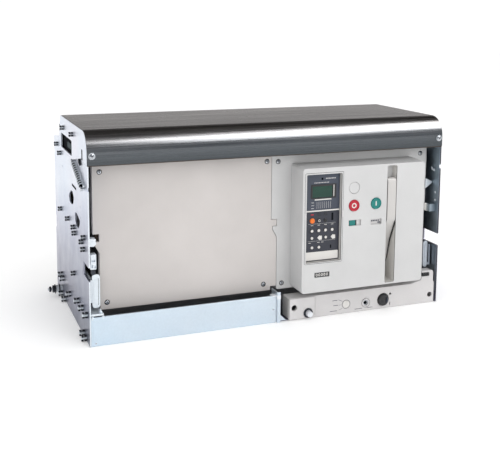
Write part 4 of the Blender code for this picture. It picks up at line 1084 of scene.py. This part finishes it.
def control_mask():
    """Control mask with drafted top, rounded edges, framed trip-unit window and deep handle slot."""
    low, high = MASK
    wall, far, draft = 0.003, 0.1, 0.003
    mask = slab("control_mask_box", "grey_plastic", "Y", low.y, high.y,
        rectangle(low.x, low.z, high.x, high.z, 0.006, 10))
    left, bottom, right, top = unit_window()
    cuts = [cutter((low.x + wall, low.y + wall, low.z + wall), (high.x - wall, far, high.z - wall)),
        slab("cut", "grey_plastic", "Y", -far, far, rectangle(left, bottom, right, top, 0.002)),
        slab("cut", "grey_plastic", "Y", low.y - 0.01, low.y + 0.0010, unit_groove(0.0),
            [unit_groove(0.0009)]), slab("cut", "grey_plastic", "Y", -far, far,
            rectangle(*handle_slot(), 0.003))]
    for area in (flag_window("state_flag", 0.013), flag_window("charged_flag", 0.012)):
        cuts.append(slab("cut", "grey_plastic", "Y", -far, far, rectangle(*area, 0.001)))
    counter = span("operation_counter")
    cuts.append(slab("cut", "grey_plastic", "Y", -far, far,
            rectangle(counter[0].x - 0.0006, counter[0].z - 0.0006, counter[1].x + 0.0006,
                counter[1].z + 0.0006, 0.0008)))
    for node in ("off_button", "on_button", "reset_button"):
        cuts.append(bore("Y", middle(node).xz, 0.0131, -far, far, 56))
    carve(mask, cuts)
    for vert in mask.data.vertices:
        if vert.co.z > high.z - wall - 0.0065:
            vert.co.z += draft * (vert.co.y - FRONT - low.y) / (high.y - low.y)
    round_edges(mask, 0.0013, 3)
    on_breaker(mask, "control_mask")

    left, bottom, right, top = unit_window()
    # Painted light: the well's walls are a lighter white plastic than the mask, for the light on them.
    on_breaker(slab("unit_well", "white_plastic", "Y", low.y + 0.0004, UNIT_Y + 0.004,
            rectangle(left - 0.0008, bottom - 0.0008, right + 0.0008, top + 0.0008, 0.002),
            [rectangle(left, bottom, right, top, 0.002)]))
    # Painted shade: a dark steel strip laid in the groove round the trip unit.
    on_breaker(slab("unit_groove_shade", "dark_steel", "Y", low.y + 0.0006, low.y + 0.0012, unit_groove(0.0),
            [unit_groove(0.0009)]))
    for name, place in (("left", left - 0.0022), ("right", right + 0.0022)):
        on_breaker(box(f"unit_frame_latch_{name}", "fascia_plastic",
                (place - 0.0016, low.y - 0.0012, 0.2285), (place + 0.0016, low.y + 0.0004, 0.2420), 0.0004))

    left, bottom, right, top = handle_slot()
    back, head_floor = 0.030, -0.0070
    # Painted light: the slot's walls are a lighter white plastic than the mask, for the light on them.
    on_breaker(slab("handle_slot_walls", "white_plastic", "Y", low.y + 0.001, back,
            rectangle(left - 0.0012, bottom - 0.0012, right + 0.0012, top + 0.0012, 0.003),
            [rectangle(left, bottom, right, top, 0.003)]))
    on_breaker(slab("handle_slot_head", "grey_plastic", "Y", head_floor, head_floor + 0.0014,
            rectangle(left + 0.0002, 0.228, right - 0.0002, top - 0.0002, 0.002)))
    on_breaker(slab("handle_slot_foot", "black_plastic", "Y", 0.0605, 0.0617,
            rectangle(left - 0.004, bottom - 0.001, right + 0.004, 0.226)))
    lever_low, lever_high = span("charging_handle")
    centre, half_width = (lever_low.x + lever_high.x) / 2, 0.0102
    # Painted shade: dark strips in the gaps either side of the lever.
    gaps = [rectangle(left + 0.0001, 0.200, centre - half_width - 0.0007, 0.3010),
        rectangle(centre + half_width + 0.0005, 0.212, right - 0.0001, 0.3010)]
    on_breaker(plates("handle_slot_gap_shades", "dark_steel", "Y", low.y + 0.0055, low.y + 0.0067, gaps))


def trip_unit():
    """Trip unit faces: display bezel, screen, printed bars, keys, knob, marks and rating plate."""
    keep_node("trip_unit_display", "slate_plastic", 0.0005)
    keep_node("trip_unit_keypad", "deep_slate", 0.0005)
    face = UNIT_Y
    left, right = DISPLAY[0].x, DISPLAY[1].x

    def flat(name, look, shapes, proud=0.0006, sunk=0.0002, round_over=0.0):
        on_breaker(plates(name, look, "Y", face - proud, face + sunk, shapes, round_over))

    screen = (0.0725, 0.2720, 0.1200, 0.2970)
    on_breaker(slab("display_bezel", "black_plastic", "Y", face - 0.0009, face + 0.0001,
            rectangle(0.0690, 0.2700, 0.1290, 0.3010, 0.0015), [rectangle(*screen, 0.001)], 0.0003))
    on_breaker(slab("display_screen", "lcd_screen", "Y", face - 0.0001, face + 0.0012,
            rectangle(screen[0] + 0.0002, screen[1] + 0.0002, screen[2] - 0.0002, screen[3] - 0.0002,
                0.0008), round_over=0.0003))
    flat("display_side_bar", "white_plastic", [rectangle(0.1222, 0.2735, 0.1238, 0.2985)], 0.0012, -0.0006)
    flat("display_under_bar", "white_plastic", [rectangle(0.0780, 0.2667, 0.1175, 0.2690, 0.0008)], 0.0012,
        0.0002, 0.0002)
    flat("sensor_window", "matte_black", [rectangle(0.0935, 0.3105, 0.0975, 0.3150, 0.0006)], 0.0008,
        0.0002, 0.0002)
    flat("unit_divider", "white_plastic", [rectangle(left + 0.0005, 0.2422, right - 0.0005, 0.2448)],
        0.0012)

    light = []
    for number in range(7):
        light.append(rectangle(0.1040 + 0.0035 * number, 0.3120, 0.1064 + 0.0035 * number, 0.3142))
    for number in range(10):
        light.append(rectangle(0.0770 + 0.0036 * number, 0.3038, 0.0792 + 0.0036 * number, 0.3054))
    for column in range(8):
        light.append(rectangle(0.0835 + 0.0046 * column, 0.2480, 0.0840 + 0.0046 * column, 0.2628))
    for row in range(3):
        light.append(rectangle(0.0705, 0.2488 + 0.0062 * row, 0.0765, 0.2498 + 0.0062 * row))
    flat("display_marks", "fascia_plastic", light, 0.00015)

    rows = {"upper": (0.2115, (0.073, 0.089, 0.105, 0.121)), "middle": (0.1735, (0.068, 0.089)),
        "lower": (0.1735, (0.098,))}
    captions = []
    for height, places in rows.values():
        for place in places:
            captions.append(rectangle(place - 0.0030, height, place + 0.0030, height + 0.0009))
    captions += [rectangle(0.0640, 0.1772, 0.1290, 0.1775), rectangle(0.0640, 0.2150, 0.1290, 0.2153)]
    flat("keypad_marks", "white_plastic", captions, 0.00015)
    flat("red_mark", "red_plastic", [rectangle(0.0695, 0.2345, 0.0765, 0.2368, 0.0008)], 0.0005)
    # Painted shade: the two slots are matte black patches on the keypad's face.
    flat("keypad_slots", "matte_black",
        [rectangle(0.1190, 0.2205, 0.1232, 0.2370, 0.0006),
            rectangle(0.1168, 0.1590, 0.1196, 0.1665, 0.0005)], 0.0004)

    def lamp(name, look, centre, radius, proud):
        on_breaker(turned(name, look, "Y", centre,
                ((radius, face + 0.0003), (radius, face - proud * 0.6),
                    (radius * 0.85, face - proud * 0.9), (radius * 0.5, face - proud)), 32))

    lamp("test_knob", "orange_plastic", (0.0730, 0.2225), 0.0056, 0.0032)
    lamp("selector_left", "black_plastic", (0.0890, 0.2222), 0.0042, 0.0022)
    lamp("selector_right", "black_plastic", (0.1045, 0.2215), 0.0042, 0.0022)
    for number, place in enumerate((0.0890, 0.1045), 1):
        on_breaker(ring(f"trim_ring_{number}", "black_plastic", "Y", (place, 0.2355), 0.0024, 0.0034,
                face - 0.0007, face + 0.0002))
    on_breaker(ring("selector_ring", "white_plastic", "Y", (0.0890, 0.2222), 0.0017, 0.0026, face - 0.0026,
            face - 0.0018))
    for number, (place, height) in enumerate(((0.0730, 0.1842), (0.1060, 0.1842), (0.0735, 0.1632),
            (0.0900, 0.1632)), 1):
        lamp(f"fixed_key_{number}", "white_plastic", (place, height), 0.0030, 0.0014)
        on_breaker(ring(f"fixed_key_seat_{number}", "black_plastic", "Y", (place, height), 0.0031, 0.0042,
                face - 0.0005, face + 0.0002))
    arrows = []
    for place in (0.0915, 0.1235):
        arrows.append(outline([(place - 0.0058, 0.1845), (place + 0.0004, 0.1905, 0.001),
                    (place + 0.0004, 0.1882), (place + 0.0048, 0.1882, 0.0008),
                    (place + 0.0048, 0.1798, 0.0008), (place + 0.0004, 0.1798),
                    (place + 0.0004, 0.1775, 0.001)]))
    flat("arrow_keys", "white_plastic", arrows, 0.0010, 0.0002, 0.0003)
    for number in (1, 2, 3, 4):
        node = f"key_{number}"
        low, high = span(node)
        centre = middle(node)
        radius = (high.x - low.x) / 2
        put(turned(node + "_cap", "black_plastic", "Y", centre.xz,
                ((radius, high.y), (radius, low.y + 0.0010), (radius * 0.94, low.y + 0.0006)), 36), node,
            node)
        put(turned(node + "_dome", "white_plastic", "Y", centre.xz,
                ((0.0032, low.y + 0.0012), (0.0032, low.y + 0.0005), (0.0024, low.y + 0.0001),
                    (0.0012, low.y - 0.0001)), 32), node)
    on_breaker(slab("rating_plate", "white_plastic", "Y", face - 0.0012, face + 0.0002,
            rectangle(left + 0.0030, KEYPAD[0].z + 0.0020, right - 0.0020, 0.1535, 0.001),
            round_over=0.0005))


def push_button(node, look, dish=0.0020, proud=None):
    """Round push button with a dished face, standing as proud of the mask as asked."""
    low, high = span(node)
    centre, radius = middle(node).xz, (high.x - low.x) / 2
    face = low.y if proud is None else MASK_Y - proud
    profile = ((radius, high.y), (radius, face + 0.0008), (radius * 0.97, face + 0.0002),
        (radius * 0.92, face), (radius * 0.87, face + dish * 0.3), (radius * 0.81, face + dish * 0.9),
        (radius * 0.5, face + dish), (radius * 0.2, face + dish))
    put(turned(node + "_cap", look, "Y", centre, profile, 64), node, node)
    return centre, face + dish


def controls():
    """Buttons with their symbols, the flags' printed halves, and the counter's drums."""
    centre, face = push_button("off_button", "red_plastic")
    put(ring("off_symbol", "white_plastic", "Y", centre, 0.0033, 0.0058, face - 0.0004, face + 0.0011),
        "off_button")
    centre, face = push_button("on_button", "green_plastic")
    put(slab("on_symbol", "white_plastic", "Y", face - 0.0004, face + 0.0011,
            rectangle(centre[0] - 0.0013, centre[1] - 0.0050, centre[0] + 0.0013, centre[1] + 0.0050,
                0.0005), round_over=0.0002), "on_button")
    push_button("reset_button", "grey_plastic", 0.0003, 0.0002)
    state_patches = (("black_plastic", 0.0, 0.12), ("green_plastic", 0.12, 0.60),
        ("black_plastic", 0.60, 0.70), ("fascia_plastic", 0.70, 1.0))
    charged_patches = (("fascia_plastic", 0.0, 1.0),)
    for node, width, patches in (("state_flag", 0.013, state_patches),
            ("charged_flag", 0.012, charged_patches)):
        keep_node(node, "white_plastic")
        area = flag_window(node, width)
        low = span(node)[0]
        for number, (look, start, end) in enumerate(patches, 1):
            reach = area[2] - area[0]
            put(slab(f"{node}_patch_{number}", look, "Y", low.y - 0.0003, low.y + 0.0002,
                    rectangle(area[0] + reach * start - (0.001 if start == 0.0 else 0.0), area[1] - 0.0005,
                        area[0] + reach * end + (0.001 if end == 1.0 else 0.0), area[3] + 0.0007)), node)
    area = flag_window("charged_flag", 0.012)
    low = span("charged_flag")[0]
    strokes = [rectangle(area[0] + 0.003 + 0.0042 * number, area[1] + 0.006,
            area[0] + 0.0058 + 0.0042 * number, area[1] + 0.0092) for number in range(5)]
    strokes.append(rectangle(area[2] - 0.008, area[1] + 0.002, area[2] - 0.001, area[1] + 0.0048))
    put(plates("charged_flag_marks", "slate_plastic", "Y", low.y - 0.0006, low.y - 0.0002, strokes),
        "charged_flag")

    low, high = span("operation_counter")
    on_breaker(slab("counter_body", "black_plastic", "Y", low.y, high.y,
            rectangle(low.x, low.z, high.x, high.z), round_over=0.0003), "operation_counter")
    drums = 5
    pitch = (high.x - low.x - 0.004) / drums
    middle_z = (low.z + high.z) / 2
    for number in range(drums):
        centre_x = low.x + 0.002 + pitch * (number + 0.5)
        digit = rectangle(centre_x - 0.0021, middle_z - 0.0031, centre_x + 0.0021, middle_z + 0.0031, 0.0016)
        hollow = rectangle(centre_x - 0.0010, middle_z - 0.0020, centre_x + 0.0010, middle_z + 0.0020, 0.0008)
        on_breaker(slab(f"counter_digit_{number + 1}", "white_plastic", "Y", low.y - 0.0003,
                low.y + 0.0002, digit, [hollow]))


def charging_handle():
    """Charging lever: rounded grip sweeping back into the slot, with a dark strip along its right edge,
    painted shade.
    """
    low, high = span("charging_handle")
    joint = next(item for item in frame["joints"] if item["child"] == "charging_handle")
    pivot_y, pivot_z = joint["pos_m"][1] - FRONT, joint["pos_m"][2]
    centre, half_width, front = (low.x + high.x) / 2, 0.0102, low.y
    shape = outline([(front, high.z, 0.0090), (front, 0.214, 0.034), (-0.002, 0.160, 0.045),
            (0.0090, 0.112, 0.012), (0.034, low.z, 0.006), (high.y, low.z, 0.012), (high.y, 0.112, 0.012),
            (0.034, 0.122, 0.010), (0.016, 0.160, 0.020), (-0.010, 0.216, 0.030),
            (-0.010, high.z, 0.0060)], 12)
    lever = slab("charging_lever", "lever_plastic", "X", centre - half_width, centre + half_width, shape)
    trunnion = turned("trunnion", "white_plastic", "X", (pivot_y, pivot_z),
        ((0.0055, centre - 0.020), (0.0055, centre + 0.020)), 28)
    carve(lever, [trunnion], "UNION", 0.0026, 4)
    put(lever, "charging_handle", "charging_handle")
    put(slab("lever_edge_shade", "black_plastic", "X", centre + half_width - 0.0008,
            centre + half_width + 0.0007,
            outline([(-0.0262, 0.2050), (-0.0205, 0.2150), (-0.0172, 0.2050, 0.03),
                    (-0.0010, 0.1640, 0.03), (0.0110, 0.1190, 0.02), (0.0300, 0.0900), (0.0260, 0.0880),
                    (0.0065, 0.1160, 0.02), (-0.0055, 0.1600, 0.03)]), round_over=0.0003),
        "charging_handle")


def inner_works():
    """Finishes for what is seen through gaps and windows: frame, poles, shafts, motor and springs."""
    for node in ("breaker_side_left", "breaker_side_right", "mechanism_frame", "main_shaft", "cam_shaft",
        "charging_motor", "closing_spring"):
        keep_node(node, "dark_steel", 0.0 if node == "closing_spring" else 0.0003)
    for number in (1, 2, 3):
        keep_node(f"arc_chute_{number}", "moulded_brown", 0.0006)
        keep_node(f"moving_contact_{number}", "copper", 0.0005)
        for level in ("upper", "lower"):
            keep_node(f"{level}_conductor_{number}", "silvered_copper", 0.0006)
        low, high = span(f"arc_chute_{number}")
        slots = []
        for step in range(9):
            place = low.x + 0.014 + 0.020 * step
            slots.append(rectangle(place - 0.0045, low.y + 0.008, place + 0.0045, high.y - 0.008, 0.002))
        on_breaker(plates(f"arc_chute_vents_{number}", "dark_steel", "Z", high.z - 0.0003, high.z + 0.0008,
                slots))
    keep_node("pole_housing", "moulded_brown", 0.0010)


def studio():
    """Pale floor, soft light all round and a softbox over the front."""
    floor = bpy.data.objects.new("floor", bpy.data.meshes.new("floor"))
    half, level = 12.0, cad_low.z - 0.0005
    corners = [(x * half, y * half, level) for x, y in ((-1, -1), (1, -1), (1, 1), (-1, 1))]
    floor.data.from_pydata(corners, [], [(0, 1, 2, 3)])
    surface, shader = start_material("floor_look", 0.9)[::2]
    shader.inputs["Base Color"].default_value = (0.96, 0.96, 0.96, 1.0)
    shader.inputs["Emission Color"].default_value = (1.0, 1.0, 1.0, 1.0)
    shader.inputs["Emission Strength"].default_value = 0.16
    shader.inputs["Specular IOR Level"].default_value = 0.1
    floor.data.materials.append(surface)
    bpy.context.collection.objects.link(floor)

    surroundings()

    def softbox(name, place, aim, width, height, radiance):
        light = bpy.data.lights.new(name, "AREA")
        light.shape = "RECTANGLE"
        light.size, light.size_y = width, height
        light.energy = radiance * math.pi * width * height
        item = bpy.data.objects.new(name, light)
        item.location = place
        item.rotation_euler = (Vector(aim) - Vector(place)).to_track_quat("-Z", "Y").to_euler()
        bpy.context.collection.objects.link(item)
        return item

    boxes = (("overhead_band", (1.5, -1.45, 2.4), (0.1, 0.0, 0.3), 2.7, 1.5, 8.0, False),
        ("front_fill", (0.9, -2.9, 1.3), (0.0, 0.0, 0.2), 2.0, 1.6, 1.8, True),
        ("top_fill", (0.3, -1.9, 2.3), (0.1, -0.15, 0.2), 1.6, 1.2, 1.2, True),
        ("left_fill", (-2.8, -1.6, 0.9), (0.0, 0.0, 0.2), 1.5, 1.5, 1.3, True))
    for name, place, aim, width, height, radiance, diffuse in boxes:
        light = softbox(name, place, aim, width, height, radiance)
        light.visible_diffuse, light.visible_glossy = diffuse, not diffuse


def surroundings():
    """White surroundings; what glossy surfaces mirror darkens overhead and behind."""
    world = bpy.data.worlds.new("studio")
    bpy.context.scene.world = world
    world.use_nodes = True
    tree = world.node_tree
    white = tree.nodes["Background"]
    white.inputs["Color"].default_value = (1.0, 1.0, 1.0, 1.0)
    ray = tree.nodes.new("ShaderNodeLightPath")
    tree.links.new(remap(tree, ray.outputs["Is Diffuse Ray"], 1.04, 0.91), white.inputs["Strength"])
    place = tree.nodes.new("ShaderNodeTexCoord")
    split = tree.nodes.new("ShaderNodeSeparateXYZ")
    tree.links.new(place.outputs["Generated"], split.inputs["Vector"])
    front = ramp(tree, split.outputs["Z"],
        ((0.0, (0.40, 0.42, 0.45)), (0.25, (0.30, 0.31, 0.33)), (0.6, (0.15, 0.15, 0.16))))
    back = ramp(tree, split.outputs["Z"],
        ((0.0, (0.80, 0.81, 0.84)), (0.05, (1.75, 1.70, 1.68)), (0.17, (1.50, 1.45, 1.43)),
            (0.34, (0.05, 0.05, 0.05)), (1.0, (0.03, 0.03, 0.03))))
    depth = map_range(tree, split.outputs["Y"], -0.25, 0.15)
    mirrored = tree.nodes.new("ShaderNodeBackground")
    tree.links.new(blend_colours(tree, depth, front, back), mirrored.inputs["Color"])
    mix = tree.nodes.new("ShaderNodeMixShader")
    tree.links.new(ray.outputs["Is Glossy Ray"], mix.inputs["Fac"])
    tree.links.new(white.outputs["Background"], mix.inputs[1])
    tree.links.new(mirrored.outputs["Background"], mix.inputs[2])
    tree.links.new(mix.outputs["Shader"], tree.nodes["World Output"].inputs["Surface"])


def camera():
    """The camera, a little above the hood and left of the middle, turned slightly right and down."""
    sensor, focal_pixels, frame_width, shift_pixels = 36.0, 851.25, 500.0, -95.0
    yaw, pitch, roll = 0.3725, -0.1342, 0.0076
    data = bpy.data.cameras.new("camera")
    data.sensor_width = sensor
    data.lens = sensor * focal_pixels / frame_width
    data.shift_y = shift_pixels / frame_width
    item = bpy.data.objects.new("camera", data)
    item.location = (-0.69937, -1.62356 + FRONT, 0.65778)
    turn = Euler((math.pi / 2 + pitch, 0.0, -yaw)).to_quaternion()
    item.rotation_mode = "QUATERNION"
    item.rotation_quaternion = turn @ Euler((0.0, 0.0, roll)).to_quaternion()
    bpy.context.collection.objects.link(item)
    bpy.context.scene.camera = item
    bpy.context.scene.view_settings.view_transform = "Standard"


camera()
studio()
side_plates()
hood()
beam()
fascia()
racking_gear()
rails()
interlock_spring()
rear()
covers()
cover_seam_shade()
control_mask()
trip_unit()
controls()
charging_handle()
inner_works()
